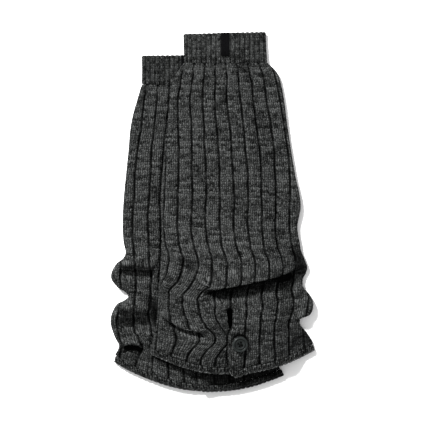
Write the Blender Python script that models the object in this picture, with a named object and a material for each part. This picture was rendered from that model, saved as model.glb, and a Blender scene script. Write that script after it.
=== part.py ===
"""Pair of ribbed knit leg warmers, laid flat with one lying over the other.

The tables are in millimetres and the meshes in metres. +Y runs from the hems up to the cuffs,
+X to the right across both garments, and +Z up from the surface they rest on.
Each leg warmer is a flattened tube: a row of the table is one course of the knitting, laid out
from its left edge to its right edge.
"""
from collections import namedtuple

import bmesh
import bpy
import numpy as np
from mathutils import Matrix, Vector
from mathutils.bvhtree import BVHTree

MM = 0.001

# Cloth of both leg warmers
WALL = 3.2                  # thickness of the chunky rib knit
HOLLOW = 1.4                # what is left between the front and the back panel
SEAM_GAP = 0.3              # between pieces that are linked together
LAY_GAP = 0.4               # between the lower leg warmer and the one lying on it
EDGE_ROUND = 0.62           # how far a side edge rounds in, as a share of the height there
INSET = 5.0                 # from a side edge to the hollow inside it
INSET_EASE = 8.0            # how soon the inside's columns come back under the outside's
EDGE_HOLD = 14.0            # how far in from a side edge a drag takes full hold
THIN = 1.0                  # least wall over the hollow, where a fold is deepest

# Slit and its two flaps, in millimetres from the slit's column of stitches
FLAP_REACH = 20.0           # how far in from its edge a flap is pushed aside
FLAP_LIFT = 3.2             # right flap's rise where it laps
FLAP_SINK = 4.2             # left flap's fall where it is lapped
SINK_REACH = 15.0           # how far in from its edge it falls
FLAP_FREE = 0.35            # share of its push aside at which a flap's inside lifts with it
# Sections below the slit's top, and where each flap's edge stands there
EDGE_COURSES = (0.0, 0.25, 0.5, 1.5, 2.5, 3.0, 3.25, 3.5, 4.0, 4.5, 5.5)
LEFT_EDGE = (0.0, -3.8, -4.3, -4.9, -5.5, -4.7, -4.0, -3.3, 3.7, 8.0, 8.0)
RIGHT_EDGE = (0.0, 2.1, 2.2, 2.1, 1.7, -0.8, -2.6, -3.0, -3.2, -1.4, -1.3)
LAP_COURSES = (2.3, 3.4)    # sections over which the flaps come to lap fully
# Corners of the flaps at the hem
DROP_SECTIONS = 3           # sections above the hem over which the corners take shape
FLAP_DROP = 4.0             # how far the right flap hangs below the hem's curve
DROP_AT = 9.0               # its lowest place from the slit, and how far to each side it hangs
FLAP_CORNER = 4.0           # how far it rounds up again at the slit
CORNER_REACH = 7.0
LEFT_CORNER = 2.5           # how far the left flap rises at the slit
LEFT_CORNER_REACH = 16.0

TROUGH_DEPTH = 1.2          # a fold's trough against its crest

# Rows and columns of the meshes
CALF_STEP = 30.0
CALF_END = -20.0            # the calf's rows are wide apart down to here
SLOUCH_STEP = 5.6
CUFF_STEPS = {"over": 8, "under": 3}
FLAT_COLUMNS = 5            # between the slit and a side edge
SLIT_EASE = 1.3             # how much closer they stand towards the slit
BACK_COLUMNS = 4
EDGE_ANGLES = (90.0, 45.0, 0.0)  # the columns round a side edge
CLOSEST = 0.1               # least share of the width between two of the back's columns

# Trims
LABEL_WIDTH = 9.4
LABEL_LENGTH = 27.0
LABEL_THICK = 0.9
LABEL_TURN = 2.4            # what hangs over the rim
BUTTON_RADIUS = 9.3
BUTTON_THICK = 2.6
BUTTON_RIM = 1.9
BUTTON_ROUND = 0.7          # bevel of its outer edges
BUTTON_SLOPE = 0.5          # from the rim's top to the dish
BUTTON_DISH = 0.8
BUTTON_HOLE_RADIUS = 1.0
BUTTON_HOLE_AT = 1.75       # each hole's centre from the middle, along both axes
BUTTON_SIDES = 32

COLOURS = {
    "yarn": (0.036, 0.038, 0.037, 1.0),
    "label": (0.006, 0.006, 0.007, 1.0),
    "button": (0.020, 0.026, 0.024, 1.0),
}

Section = namedtuple("Section", "name y_left y_mid y_right x_left x_slit x_right h_left h_mid h_right")
Fold = namedtuple("Fold", "name x_start y_start x_mid y_mid x_end y_end half reach lift fade_in fade_out")
Pad = namedtuple("Pad", "name x_start y_start x_end y_end spread lift")
Drag = namedtuple("Drag", "name x y dx spread_x spread_y left_only")
Warmer = namedtuple("Warmer", "name cuff body slit_row folds pads drags label_x button")

OVER_CUFF = (
    Section("rim", 212.5, 214.0, 215.0, -36.5, 15.0, 63.5, 7.8, 7.8, 7.8),
    Section("middle", 197.0, 196.5, 197.5, -36.0, 15.0, 64.0, 8.0, 8.0, 8.0),
    Section("seam", 179.3, 178.3, 180.3, -35.5, 15.0, 65.5, 8.0, 8.0, 8.0),
)
OVER_BODY = (
    Section("cuff seam", 179, 178, 180, -35.5, 15, 65.5, 8, 8, 8),
    Section("gather", 168, 167, 169.5, -42, 15.8, 75, 8.5, 9, 8.5),
    Section("swell", 157, 156.5, 158, -48, 16.3, 80, 9, 9.5, 9),
    Section("calf top", 134.5, 133.5, 134.5, -51.5, 16.5, 84.5, 9, 9.5, 9),
    Section("calf upper", 104, 104, 104, -55.5, 19.5, 88.5, 9, 9.5, 9),
    Section("calf middle", 74, 74, 74, -58, 22, 93, 9, 9.5, 9),
    Section("calf lower", 44, 44, 44, -60.5, 24, 98, 9, 9.5, 9),
    Section("calf foot", 14, 13, 9, -62.5, 25, 105, 9.5, 10, 10),
    Section("ease", -12, -16, -17, -61.5, 24.5, 100.5, 10, 11, 10),
    Section("slouch", -36, -41, -41, -61.5, 28, 104.5, 11, 14, 11),
    Section("brow", -52, -62, -55, -62, 34, 110, 12, 17, 12),
    Section("tuck", -72, -88, -68, -63, 30, 113.5, 12, 16, 12),
    Section("under tuck", -88, -104, -86, -64.5, 21.5, 107, 11, 14, 11),
    Section("roll top", -98, -111, -98, -65, 21.5, 115, 11.5, 15, 13),
    Section("roll", -108, -118, -110, -65.5, 21.5, 119.5, 12, 16, 15),
    Section("roll foot", -119, -127, -123, -66, 21, 116, 11.5, 16.5, 15),
    Section("neck", -128, -136, -131, -67, 21, 103.5, 11, 16, 13),
    Section("flare", -143, -155, -146, -69.5, 20.5, 113.5, 10, 12.5, 10.5),
    Section("hem seam", -162.5, -186, -158, -74, 20, 120.5, 8, 8.5, 8),
    Section("hem edge", -169, -194, -165, -76, 20, 123, 7.6, 8.2, 7.6),
)
OVER_SLIT_ROW = 13.5
OVER_FOLDS = (
    Fold("tuck", -20, -95, 44, -84, 116, -65, 20, 9.5, 9.0, 24, 32),
    Fold("pad lip", -62, -125, -30, -141, -2, -144, 10, 3.6, 4.2, 10, 22),
)
OVER_PADS = (
    Pad("diagonal ridge", -40, -57, -60, -92, 9, 4.0),
    Pad("pad", -34, -98, -14, -118, 20, 7.5),
)
OVER_DRAGS = (
    Drag("pad pull", -34, -107, -6.5, 36, 23, False),
    Drag("fold pull", -30, -153, 9, 24, 14, True),
    Drag("flap pull", -8, -150, 9.5, 32, 18, True),
    Drag("lap pull", 14, -157, 6.5, 14, 14, True),
)

UNDER_CUFF = (
    Section("rim", 186.5, 187.0, 187.0, -86.5, -35, 13.5, 7.8, 7.8, 7.8),
    Section("middle", 171.0, 170.0, 171.0, -86.3, -35, 14.0, 8.0, 8.0, 8.0),
    Section("seam", 154.3, 152.3, 154.3, -86.5, -35, 14.5, 8.0, 8.0, 8.0),
)
UNDER_BODY = (
    Section("cuff seam", 154, 152, 154, -86.5, -26, 14.5, 8, 8, 8),
    Section("gather", 143, 141, 143, -89.5, -25, 24, 8.5, 8.5, 8.5),
    Section("calf top", 109, 107, 108, -99, -24, 34, 8.7, 8.7, 8.7),
    Section("calf upper", 78, 77, 77, -102, -22.5, 38.5, 8.7, 8.7, 8.7),
    Section("calf middle", 48, 48, 48, -105, -21, 43, 8.7, 8.7, 8.7),
    Section("calf lower", 18, 18, 18, -108, -21.5, 48, 8.7, 8.7, 8.7),
    Section("calf foot", -12, -13, -15, -109.5, -22.5, 54, 9, 9, 9),
    Section("ease", -34, -37, -38, -108.5, -22.5, 51, 10, 10, 10),
    Section("slouch", -51, -56, -60, -106, -22, 54, 12, 12, 12),
    Section("roll 1 top", -63, -70, -72, -117, -21.5, 58, 14, 12, 12),
    Section("roll 1", -78, -83, -84, -123, -21, 60, 17, 12, 12),
    Section("roll 1 foot", -91, -94, -94, -114, -21, 61, 15, 12, 12),
    Section("neck 1", -101, -106, -104, -101.5, -21, 61, 12, 12, 12),
    Section("roll 2 top", -111, -118, -114, -116, -21, 62, 14, 12, 12),
    Section("roll 2", -130, -136, -131, -123, -20, 64, 17, 12, 12),
    Section("roll 2 foot", -150, -156, -148, -118, -19, 66, 13, 11, 10),
    Section("neck 2", -161, -173, -160, -113, -18, 70, 9, 9.2, 9),
    Section("hem seam", -171.5, -207, -187.5, -118.5, -15, 82, 8, 8.2, 8),
    Section("hem edge", -179, -215, -195, -120.5, -14, 86, 7.6, 8, 7.6),
)
UNDER_SLIT_ROW = 13
UNDER_FOLDS = (
    Fold("upper lip", -120, -69.5, -90, -71, -58, -72, 13, 3.4, 5.6, 14, 14),
    Fold("valley", -122, -124.5, -90, -127, -50, -131, 19, 1.5, 6.4, 14, 8),
    Fold("lower lip", -113, -165, -97, -159.5, -82, -166, 10, 3.4, 4.0, 8, 8),
)
UNDER_PADS = ()
UNDER_DRAGS = (
    Drag("hem pull", -90, -158, 8.5, 24, 13, False),
)

# Each one's label is placed along its cuff, and its button on its right flap
OVER = Warmer("over", OVER_CUFF, OVER_BODY, OVER_SLIT_ROW, OVER_FOLDS, OVER_PADS, OVER_DRAGS,
              14.2, (32.0, -158.0))
UNDER = Warmer("under", UNDER_CUFF, UNDER_BODY, UNDER_SLIT_ROW, UNDER_FOLDS, UNDER_PADS, UNDER_DRAGS,
               -34.0, (-3.0, -178.0))

# How high the upper leg warmer lies on the lower one: course on the lower one, height of its underside
REST_AT = (-215.0, -197.0, -172.0, -140.0, -72.0, -34.0, 0.0, 130.0, 156.0, 190.0)
REST_HEIGHT = (8.8, 9.0, 11.5, 14.0, 14.0, 10.4, 9.1, 9.1, 10.3, 10.3)
BEND = 6.0                  # how far past the lower one's side it starts to come down
FOOT = 34.0                 # and how far past that side it meets the surface
TOP_START = 190.0           # the lower one's rim, where the upper cuff starts to come down
TOP_SLOPE = 25.0
CUFF_COVER = (128.0, 150.0)  # the lower one's shoulder, where its cloth stops filling the space
MOUND = ((-14.0, -162.0), (-5.0, -186.0), 7.4, 26.0)  # over the lower one's lap and button
# Where the upper one starts to press the lower one flat, and has pressed it, from its own edges
PRESS_SIDE = (-13.0, -3.0)
PRESS_HEM = (-10.0, -1.0)


def smoothstep(low, high, value):
    share = np.clip((value - low) / (high - low), 0.0, 1.0)
    return share * share * (3.0 - 2.0 * share)


def through(points, t):
    """A smooth curve through evenly numbered values, read at t."""
    points = np.asarray(points, float)
    ends = (2 * points[0] - points[1], 2 * points[-1] - points[-2])
    padded = np.concatenate(([ends[0]], points, [ends[1]]))
    index = np.clip(np.floor(t).astype(int), 0, len(points) - 2)
    f = t - index
    a, b, c, d = (padded[index + k] for k in range(4))
    bend = (2 * a - 5 * b + 4 * c - d) * f ** 2 + (3 * b - a - 3 * c + d) * f ** 3
    return 0.5 * (2 * b + (c - a) * f + bend)


def across(left, mid, right, w):
    """The curve through three values, read at w from 0 at the left to 1 at the right."""
    return left * (1 - w) * (1 - 2 * w) + mid * 4 * w * (1 - w) + right * w * (2 * w - 1)


def read(sections, t):
    """The table's columns at course t."""
    values = {key: through([getattr(row, key) for row in sections], t) for key in Section._fields[1:]}
    return Section("", **values)


def under_side(y):
    """Where the lower leg warmer's right side is at y."""
    rows = UNDER_BODY[::-1] + UNDER_CUFF[::-1]
    return np.interp(y, [row.y_right for row in rows], [row.x_right for row in rows])


def swell(x, y, start, end, lift, spread):
    """A soft rise round the line from start to end."""
    run = np.subtract(end, start)
    along = ((x - start[0]) * run[0] + (y - start[1]) * run[1]) / (run @ run)
    along = np.clip(along, 0, 1)
    gap = np.hypot(x - start[0] - along * run[0], y - start[1] - along * run[1])
    return lift * np.exp(-(gap / spread) ** 2)


def rest_height(x, y):
    """Height of the upper leg warmer's underside over the point x, y."""
    side = under_side(y)
    lying = np.interp(y, REST_AT, REST_HEIGHT) + swell(x, y, *MOUND)
    lying = lying * (1 - smoothstep(side + BEND, side + FOOT, x))
    return lying * (1 - smoothstep(TOP_START, TOP_START + TOP_SLOPE, y))


def cover(x, y):
    """1 where the upper leg warmer lies on the lower one, 0 where the lower one is free."""
    rows = OVER_BODY[::-1] + OVER_CUFF[::-1]
    side = np.interp(y, [row.y_left for row in rows], [row.x_left for row in rows])
    hem = OVER_BODY[-1]
    w = np.clip((x - hem.x_left) / (hem.x_right - hem.x_left), 0, 1)
    edge = across(hem.y_left, hem.y_mid, hem.y_right, w)
    covered = smoothstep(*PRESS_SIDE, x - side) * smoothstep(*PRESS_HEM, y - edge)
    return covered * (1 - smoothstep(*CUFF_COVER, y))


def pad_lift(pads, x, y):
    """The sum of the soft pads at x, y."""
    total = np.zeros_like(x)
    for pad in pads:
        ends = (pad.x_start, pad.y_start), (pad.x_end, pad.y_end)
        total = total + swell(x, y, *ends, pad.lift, pad.spread)
    return total


def pull_aside(warmer, side, x, y, hold):
    """x after the drags; some of them take hold only of the cloth left of the slit."""
    for drag in warmer.drags:
        pull = np.exp(-((x - drag.x) / drag.spread_x) ** 2 - ((y - drag.y) / drag.spread_y) ** 2)
        x = x + drag.dx * pull * hold * ((side < 0) | (not drag.left_only))
    return x


def fold_over(folds, x, y, z, share):
    """Overturning waves: the crest above each fold's line leans down over the trough below it."""
    for fold in folds:
        w = (x - fold.x_start) / (fold.x_end - fold.x_start)
        mid = (fold.x_mid - fold.x_start) / (fold.x_end - fold.x_start)
        drop = fold.y_end - fold.y_start
        bow = (fold.y_mid - fold.y_start - mid * drop) / (mid * (1 - mid))
        line = fold.y_start + w * drop + bow * w * (1 - w)
        fade = smoothstep(fold.x_start, fold.x_start + fold.fade_in, x)
        fade = fade * (1 - smoothstep(fold.x_end - fold.fade_out, fold.x_end, x))
        phase = np.clip((line - y) / fold.half, -1, 1)
        wave = np.sin(np.pi * phase) * fade * share
        y = y + fold.reach * wave
        z = z - fold.lift * wave * np.where(wave > 0, TROUGH_DEPTH, 1.0)
    return y, z


def slit_shift(warmer, t):
    """How far each flap's edge stands from the slit's column, and how much the flaps lap, at course t."""
    along = t - warmer.slit_row
    left = np.interp(along, EDGE_COURSES, LEFT_EDGE)
    right = np.interp(along, EDGE_COURSES, RIGHT_EDGE)
    return left, right, smoothstep(*LAP_COURSES, along)


def hem_drop(warmer, t, across_slit):
    """How far the upper one's corners stand off the hem's curve, across_slit right of the slit."""
    last = len(warmer.body) - 2
    near_hem = smoothstep(last - DROP_SECTIONS, last, t) * (warmer is OVER)
    right = FLAP_CORNER * (1 - smoothstep(0, CORNER_REACH, across_slit))
    right = right - FLAP_DROP * np.exp(-(across_slit / DROP_AT - 1) ** 2)
    left = LEFT_CORNER * (1 - smoothstep(0, LEFT_CORNER_REACH, -across_slit))
    return near_hem * np.where(across_slit > 0, right, left)


def outer_face(warmer, sections, t, w, front, side):
    """Outer points of a panel at course t and share w of the width; side is -1 or 1 of the slit."""
    row = read(sections, t)
    width = row.x_right - row.x_left
    x = row.x_left + w * width
    y = across(row.y_left, row.y_mid, row.y_right, w)
    height = across(row.h_left, row.h_mid, row.h_right, w)
    radius = EDGE_ROUND * height
    edge = np.minimum(w, 1 - w) * width
    share = np.sqrt(np.clip(1 - (1 - np.minimum(edge / radius, 1)) ** 2, 0, 1))
    if not front:
        z = height / 2 * (1 - share)
        return settle(warmer, x, y, z)
    top = height
    from_slit = x - row.x_slit
    covered = cover(x, y) if warmer is UNDER else np.zeros_like(x)
    if sections is warmer.body:
        x = pull_aside(warmer, side, x, y, share * smoothstep(0, EDGE_HOLD, edge))
        top = top + pad_lift(warmer.pads, x, y)
        top = top + (np.interp(y, REST_AT, REST_HEIGHT) - LAY_GAP - top) * covered
    z = height / 2 + (top - height / 2) * share
    if sections is warmer.body:
        y, z = fold_over(warmer.folds, x, y, z, share * (1 - covered))
        left, right, lapped = slit_shift(warmer, t)
        near = 1 - smoothstep(0, FLAP_REACH, np.abs(from_slit))
        sunk = 1 - smoothstep(0, SINK_REACH, np.abs(from_slit))
        x = x + np.where(side < 0, left, right) * near
        y = y + hem_drop(warmer, t, from_slit)
        z = z + np.where(side < 0, -FLAP_SINK * sunk, FLAP_LIFT * near) * lapped
        z = np.maximum(z, (WALL + HOLLOW + THIN) * share)
    return settle(warmer, x, y, z)


def inner_face(warmer, sections, t, w, front, side):
    """The hollow's points: the flattened tube's inside, a wall's thickness in from its outside."""
    row = read(sections, t)
    width = row.x_right - row.x_left
    from_left = w * width
    from_right = width - from_left
    x = row.x_left + from_left + INSET * (np.exp(-from_left / INSET_EASE) - np.exp(-from_right / INSET_EASE))
    y = across(row.y_left, row.y_mid, row.y_right, (x - row.x_left) / width)
    edge = np.minimum(x - row.x_left, row.x_right - x) - INSET
    share = np.sqrt(np.clip(1 - (1 - np.clip(edge / HOLLOW, 0, 1)) ** 2, 0, 1))
    z = WALL + HOLLOW / 2 * (1 + share * (1 if front else -1))
    if front and sections is warmer.body:
        left, right, lapped = slit_shift(warmer, t)
        near = 1 - smoothstep(0, FLAP_REACH, np.abs(x - row.x_slit))
        outer = outer_face(warmer, sections, t, w, front, side)
        flap = outer[..., 2] - rest(warmer, outer[..., 0], outer[..., 1]) - WALL
        lifted = smoothstep(0, FLAP_FREE, near) * lapped * (side > 0)
        x = pull_aside(warmer, side, x, y, share) + np.where(side < 0, left, right) * near
        y = y + hem_drop(warmer, t, row.x_left + from_left - row.x_slit)
        z = z + (np.maximum(flap, z) - z) * lifted
    return settle(warmer, x, y, z)


def rest(warmer, x, y):
    return rest_height(x, y) if warmer is OVER else np.zeros_like(x)


def settle(warmer, x, y, z):
    return np.stack((x, y, z + rest(warmer, x, y)), axis=-1)


def back_shares(warmer, row, start, end):
    """The back's columns from right to left: the upper one's stand where it bends over the lower one."""
    if warmer is UNDER:
        return [start + (end - start) * k / (BACK_COLUMNS + 1) for k in range(1, BACK_COLUMNS + 1)]
    width = row.x_right - row.x_left
    side = under_side((row.y_mid + row.y_right) / 2)
    foot = np.minimum((side + FOOT - row.x_left) / width, start - CLOSEST / 2)
    bend = np.minimum((side + BEND - row.x_left) / width, foot - CLOSEST)
    rest_of_back = BACK_COLUMNS - 2
    return [foot, bend] + [bend + (end - bend) * k / (rest_of_back + 1) for k in range(1, rest_of_back + 1)]


def ring_columns(sections, t, face, warmer):
    """Points of one face of the tube, as an array of courses by columns.

    The columns are walked from the slit's right side, round the right edge, along the back, round
    the left edge and so to the slit's left side. An edge column is given by its angle round the edge.
    """
    row = read(sections, t)
    width = row.x_right - row.x_left
    slit = (row.x_slit - row.x_left) / width
    columns = []

    def edge_share(angle, right):
        height = row.h_right if right else row.h_left
        back_from_edge = EDGE_ROUND * height * (1 - np.cos(np.radians(angle))) / width
        return 1 - back_from_edge if right else back_from_edge

    def add(w, front, side):
        columns.append(face(warmer, sections, t, w, front, np.full_like(t, side)))

    start = edge_share(90.0, True)
    for k in range(FLAT_COLUMNS + 1):
        add(slit + (start - slit) * (k / (FLAT_COLUMNS + 1)) ** SLIT_EASE, True, 1)
    for angle in EDGE_ANGLES:
        add(edge_share(angle, True), True, 1)
    for angle in EDGE_ANGLES[-2::-1]:
        add(edge_share(angle, True), False, 1)
    end = edge_share(90.0, False)
    for w in back_shares(warmer, row, start, end):
        add(w, False, 0)
    for angle in EDGE_ANGLES:
        add(edge_share(angle, False), False, -1)
    for angle in EDGE_ANGLES[-2::-1]:
        add(edge_share(angle, False), True, -1)
    for k in range(FLAT_COLUMNS, -1, -1):
        add(slit + (end - slit) * (k / (FLAT_COLUMNS + 1)) ** SLIT_EASE, True, -1)
    return np.stack(columns, axis=1)


def body_rows(warmer):
    """Courses at which the body's mesh has a row: wide apart on the calf, close where it slouches."""
    sections = warmer.body
    rows = [warmer.slit_row]
    for index in range(len(sections) - 2):
        drop = sections[index].y_mid - sections[index + 1].y_mid
        step = CALF_STEP if sections[index].y_mid > CALF_END else SLOUCH_STEP
        count = max(1, round(drop / step))
        rows += [index + k / count for k in range(count)]
    return np.unique(rows + [len(sections) - 2.0])


def new_object(name, mesh, colour):
    material = bpy.data.materials.get(colour)
    if material is None:
        material = bpy.data.materials.new(colour)
        material.use_nodes = True
        shader = material.node_tree.nodes["Principled BSDF"]
        shader.inputs["Base Color"].default_value = COLOURS[colour]
        shader.inputs["Roughness"].default_value = 0.35 if colour == "button" else 0.95
    mesh.materials.append(material)
    piece = bpy.data.objects.new(name, mesh)
    bpy.context.scene.collection.objects.link(piece)
    return piece


def wall(name, outer, inner, split_row, colour="yarn"):
    """A closed wall between two faces of a ring that is split from split_row to its end.

    split_row None means that the ring is whole, and 0 that it is split all along.
    """
    rows, columns = outer.shape[:2]
    mesh = bmesh.new()

    def place(points):
        grid = []
        for i in range(rows):
            line = [mesh.verts.new(point * MM) for point in points[i, :-1]]
            whole = split_row is None or (i <= split_row and split_row > 0)
            line.append(line[0] if whole else mesh.verts.new(points[i, -1] * MM))
            grid.append(line)
        return grid

    def quad(*corners):
        unlike = list(dict.fromkeys(corners))
        if len(unlike) > 2:
            mesh.faces.new(unlike)

    out = place(outer)
    into = place(inner)
    for i in range(rows - 1):
        for j in range(columns - 1):
            quad(out[i][j], out[i][j + 1], out[i + 1][j + 1], out[i + 1][j])
            quad(into[i][j + 1], into[i][j], into[i + 1][j], into[i + 1][j + 1])
        if out[i + 1][-1] is not out[i + 1][0]:
            quad(out[i][0], out[i + 1][0], into[i + 1][0], into[i][0])
            quad(out[i + 1][-1], out[i][-1], into[i][-1], into[i + 1][-1])
    for j in range(columns - 1):
        quad(out[0][j + 1], out[0][j], into[0][j], into[0][j + 1])
        quad(out[-1][j], out[-1][j + 1], into[-1][j + 1], into[-1][j])
    bmesh.ops.recalc_face_normals(mesh, faces=mesh.faces)
    data = bpy.data.meshes.new(name)
    mesh.to_mesh(data)
    mesh.free()
    data.shade_smooth()
    return new_object(name, data, colour)


def cuff_rows(warmer):
    return np.linspace(0, len(warmer.cuff) - 1, CUFF_STEPS[warmer.name] + 1)


def make_cuff(warmer):
    t = cuff_rows(warmer)
    outer = ring_columns(warmer.cuff, t, outer_face, warmer)
    inner = ring_columns(warmer.cuff, t, inner_face, warmer)
    wall(f"{warmer.name}_cuff", outer, inner, None)


def make_body(warmer):
    t = body_rows(warmer)
    split = int(np.argmin(np.abs(t - warmer.slit_row)))
    outer = ring_columns(warmer.body, t, outer_face, warmer)
    inner = ring_columns(warmer.body, t, inner_face, warmer)
    return wall(f"{warmer.name}_body", outer, inner, split)


def make_hem_edging(warmer):
    """The edging goes on from the body's last course to the end of the table."""
    seam = len(warmer.body) - 2
    drop = warmer.body[-2].y_left - warmer.body[-1].y_left
    t = np.array((seam + SEAM_GAP / drop, seam + 0.5, seam + 1.0))
    outer = ring_columns(warmer.body, t, outer_face, warmer)
    inner = ring_columns(warmer.body, t, inner_face, warmer)
    wall(f"{warmer.name}_hem_edging", outer, inner, 0)


def make_label(warmer):
    """A strip on the cuff's front, turned over its rim."""
    rim, seam = warmer.cuff[0], warmer.cuff[-1]
    stop = (len(warmer.cuff) - 1) * LABEL_LENGTH / (rim.y_mid - seam.y_mid)
    rows = cuff_rows(warmer)
    t = np.append(rows[rows < stop], stop)
    left = warmer.label_x - LABEL_WIDTH / 2
    columns = []
    for k in range(3):
        x = left + LABEL_WIDTH * k / 2
        row = read(warmer.cuff, t)
        w = (x - row.x_left) / (row.x_right - row.x_left)
        columns.append(outer_face(warmer, warmer.cuff, t, w, True, np.ones_like(t)))
    face = np.stack(columns, axis=1)
    mesh = bmesh.new()
    under, upper = [], []
    for points in face:
        under.append([mesh.verts.new((point + (0, 0, SEAM_GAP)) * MM) for point in points])
        upper.append([mesh.verts.new((point + (0, 0, SEAM_GAP + LABEL_THICK)) * MM) for point in points])
    for line, out in ((under, SEAM_GAP), (upper, SEAM_GAP + LABEL_THICK)):
        corner = [mesh.verts.new((point + (0, out, out)) * MM) for point in face[0]]
        turned = [mesh.verts.new((point + (0, out, -LABEL_TURN)) * MM) for point in face[0]]
        line[0:1] = [turned, corner]
    for i in range(len(under) - 1):
        for j in range(2):
            mesh.faces.new((upper[i][j], upper[i][j + 1], upper[i + 1][j + 1], upper[i + 1][j]))
            mesh.faces.new((under[i][j + 1], under[i][j], under[i + 1][j], under[i + 1][j + 1]))
        mesh.faces.new((upper[i][0], upper[i + 1][0], under[i + 1][0], under[i][0]))
        mesh.faces.new((upper[i + 1][2], upper[i][2], under[i][2], under[i + 1][2]))
    for j in range(2):
        mesh.faces.new((upper[0][j + 1], upper[0][j], under[0][j], under[0][j + 1]))
        mesh.faces.new((upper[-1][j], upper[-1][j + 1], under[-1][j + 1], under[-1][j]))
    bmesh.ops.recalc_face_normals(mesh, faces=mesh.faces)
    data = bpy.data.meshes.new(f"{warmer.name}_label")
    mesh.to_mesh(data)
    mesh.free()
    new_object(f"{warmer.name}_label", data, "label")


def seat(body, x, y):
    """Where a button lies on the body round x, y: the point above its middle, and its upward normal."""
    tree = BVHTree.FromPolygons([v.co for v in body.data.vertices], [p.vertices for p in body.data.polygons])
    hits = []
    for ring in (0.0, 0.5, 1.0):
        for k in range(BUTTON_SIDES):
            angle = 2 * np.pi * k / BUTTON_SIDES
            reach = ring * BUTTON_RADIUS * MM
            start = Vector((x * MM + reach * np.cos(angle), y * MM + reach * np.sin(angle), 1.0))
            hits.append(tree.ray_cast(start, Vector((0, 0, -1)))[0])
    hits = np.array(hits)
    around = hits - (x * MM, y * MM, 0)
    slopes, _, _, _ = np.linalg.lstsq(np.c_[around[:, :2], np.ones(len(hits))], around[:, 2], rcond=None)
    above = (around[:, 2] - around[:, :2] @ slopes[:2]).max() + SEAM_GAP * MM
    return Vector((x * MM, y * MM, above)), Vector((-slopes[0], -slopes[1], 1.0)).normalized()


def make_button(warmer, body):
    """A rimmed button, turned from its profile, with four sewing holes."""
    name = f"{warmer.name}_button"
    half = BUTTON_THICK / 2
    dish = BUTTON_RADIUS - BUTTON_RIM
    profile = (
        (0.0, 0.0), (BUTTON_RADIUS - BUTTON_ROUND, 0.0), (BUTTON_RADIUS, BUTTON_ROUND),
        (BUTTON_RADIUS, half), (BUTTON_RADIUS - BUTTON_ROUND, BUTTON_THICK),
        (dish + BUTTON_SLOPE, BUTTON_THICK), (dish, BUTTON_THICK - BUTTON_DISH),
        (0.0, BUTTON_THICK - BUTTON_DISH),
    )
    mesh = bmesh.new()
    line = [mesh.verts.new((radius * MM, 0, z * MM)) for radius, z in profile]
    edges = [mesh.edges.new(pair) for pair in zip(line, line[1:])]
    bmesh.ops.spin(mesh, geom=line + edges, cent=(0, 0, 0), axis=(0, 0, 1), angle=2 * np.pi,
                   steps=BUTTON_SIDES, use_merge=True)
    bmesh.ops.remove_doubles(mesh, verts=mesh.verts, dist=0.001 * MM)
    bmesh.ops.recalc_face_normals(mesh, faces=mesh.faces)
    data = bpy.data.meshes.new(name)
    mesh.to_mesh(data)
    mesh.free()
    button = new_object(name, data, "button")
    place, up = seat(body, *warmer.button)
    button.location = place
    button.rotation_mode = "QUATERNION"
    button.rotation_quaternion = up.to_track_quat("Z", "Y")
    holes = bpy.data.objects.new(f"{name}_holes", hole_mesh(name))
    holes.parent = button
    holes.hide_render = True
    holes.display_type = "WIRE"
    bpy.context.scene.collection.objects.link(holes)
    cut = button.modifiers.new("sewing holes", "BOOLEAN")
    cut.object = holes
    cut.solver = "EXACT"


def hole_mesh(name):
    """Four small rods, one through each sewing hole."""
    mesh = bmesh.new()
    for x in (-BUTTON_HOLE_AT, BUTTON_HOLE_AT):
        for y in (-BUTTON_HOLE_AT, BUTTON_HOLE_AT):
            middle = Matrix.Translation(Vector((x, y, BUTTON_THICK / 2)) * MM)
            bmesh.ops.create_cone(mesh, cap_ends=True, segments=10, radius1=BUTTON_HOLE_RADIUS * MM,
                                  radius2=BUTTON_HOLE_RADIUS * MM, depth=2 * BUTTON_THICK * MM, matrix=middle)
    data = bpy.data.meshes.new(f"{name}_holes")
    mesh.to_mesh(data)
    mesh.free()
    return data


def main():
    for old in list(bpy.data.objects):
        bpy.data.objects.remove(old)
    for warmer in (UNDER, OVER):
        make_cuff(warmer)
        body = make_body(warmer)
        make_hem_edging(warmer)
        make_label(warmer)
        make_button(warmer, body)


main()
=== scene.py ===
"""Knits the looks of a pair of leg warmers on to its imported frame.

Tables and shaping functions work in millimetres, and meshes are made in metres. +Y runs from the
hems up to the cuffs, +X to the right across both garments, and +Z up from the surface they lie on.
A leg warmer is a flattened tube of broad ribs. A place on it is given by its course, counted in
rows of the section table, and its rib number, counted round the tube from the slit.
"""
from collections import namedtuple

import bmesh
import bpy
import numpy as np
from bpy.props import FloatProperty, FloatVectorProperty, PointerProperty
from mathutils import Matrix, Vector


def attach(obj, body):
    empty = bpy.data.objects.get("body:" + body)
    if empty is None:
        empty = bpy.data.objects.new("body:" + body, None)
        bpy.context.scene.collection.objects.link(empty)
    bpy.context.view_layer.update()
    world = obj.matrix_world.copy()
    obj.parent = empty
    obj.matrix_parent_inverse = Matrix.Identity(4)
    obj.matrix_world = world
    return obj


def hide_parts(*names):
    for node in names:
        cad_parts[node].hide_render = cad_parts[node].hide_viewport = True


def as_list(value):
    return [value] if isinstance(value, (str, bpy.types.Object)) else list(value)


bl_info = {
    "name": "Knitted Leg Warmers",
    "version": (1, 0, 0),
    "blender": (4, 5, 0),
    "location": "View3D > Sidebar > Leg Warmers",
    "description": "Knits, trims and lights a pair of ribbed leg warmers on their frame",
    "category": "Object",
}

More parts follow.
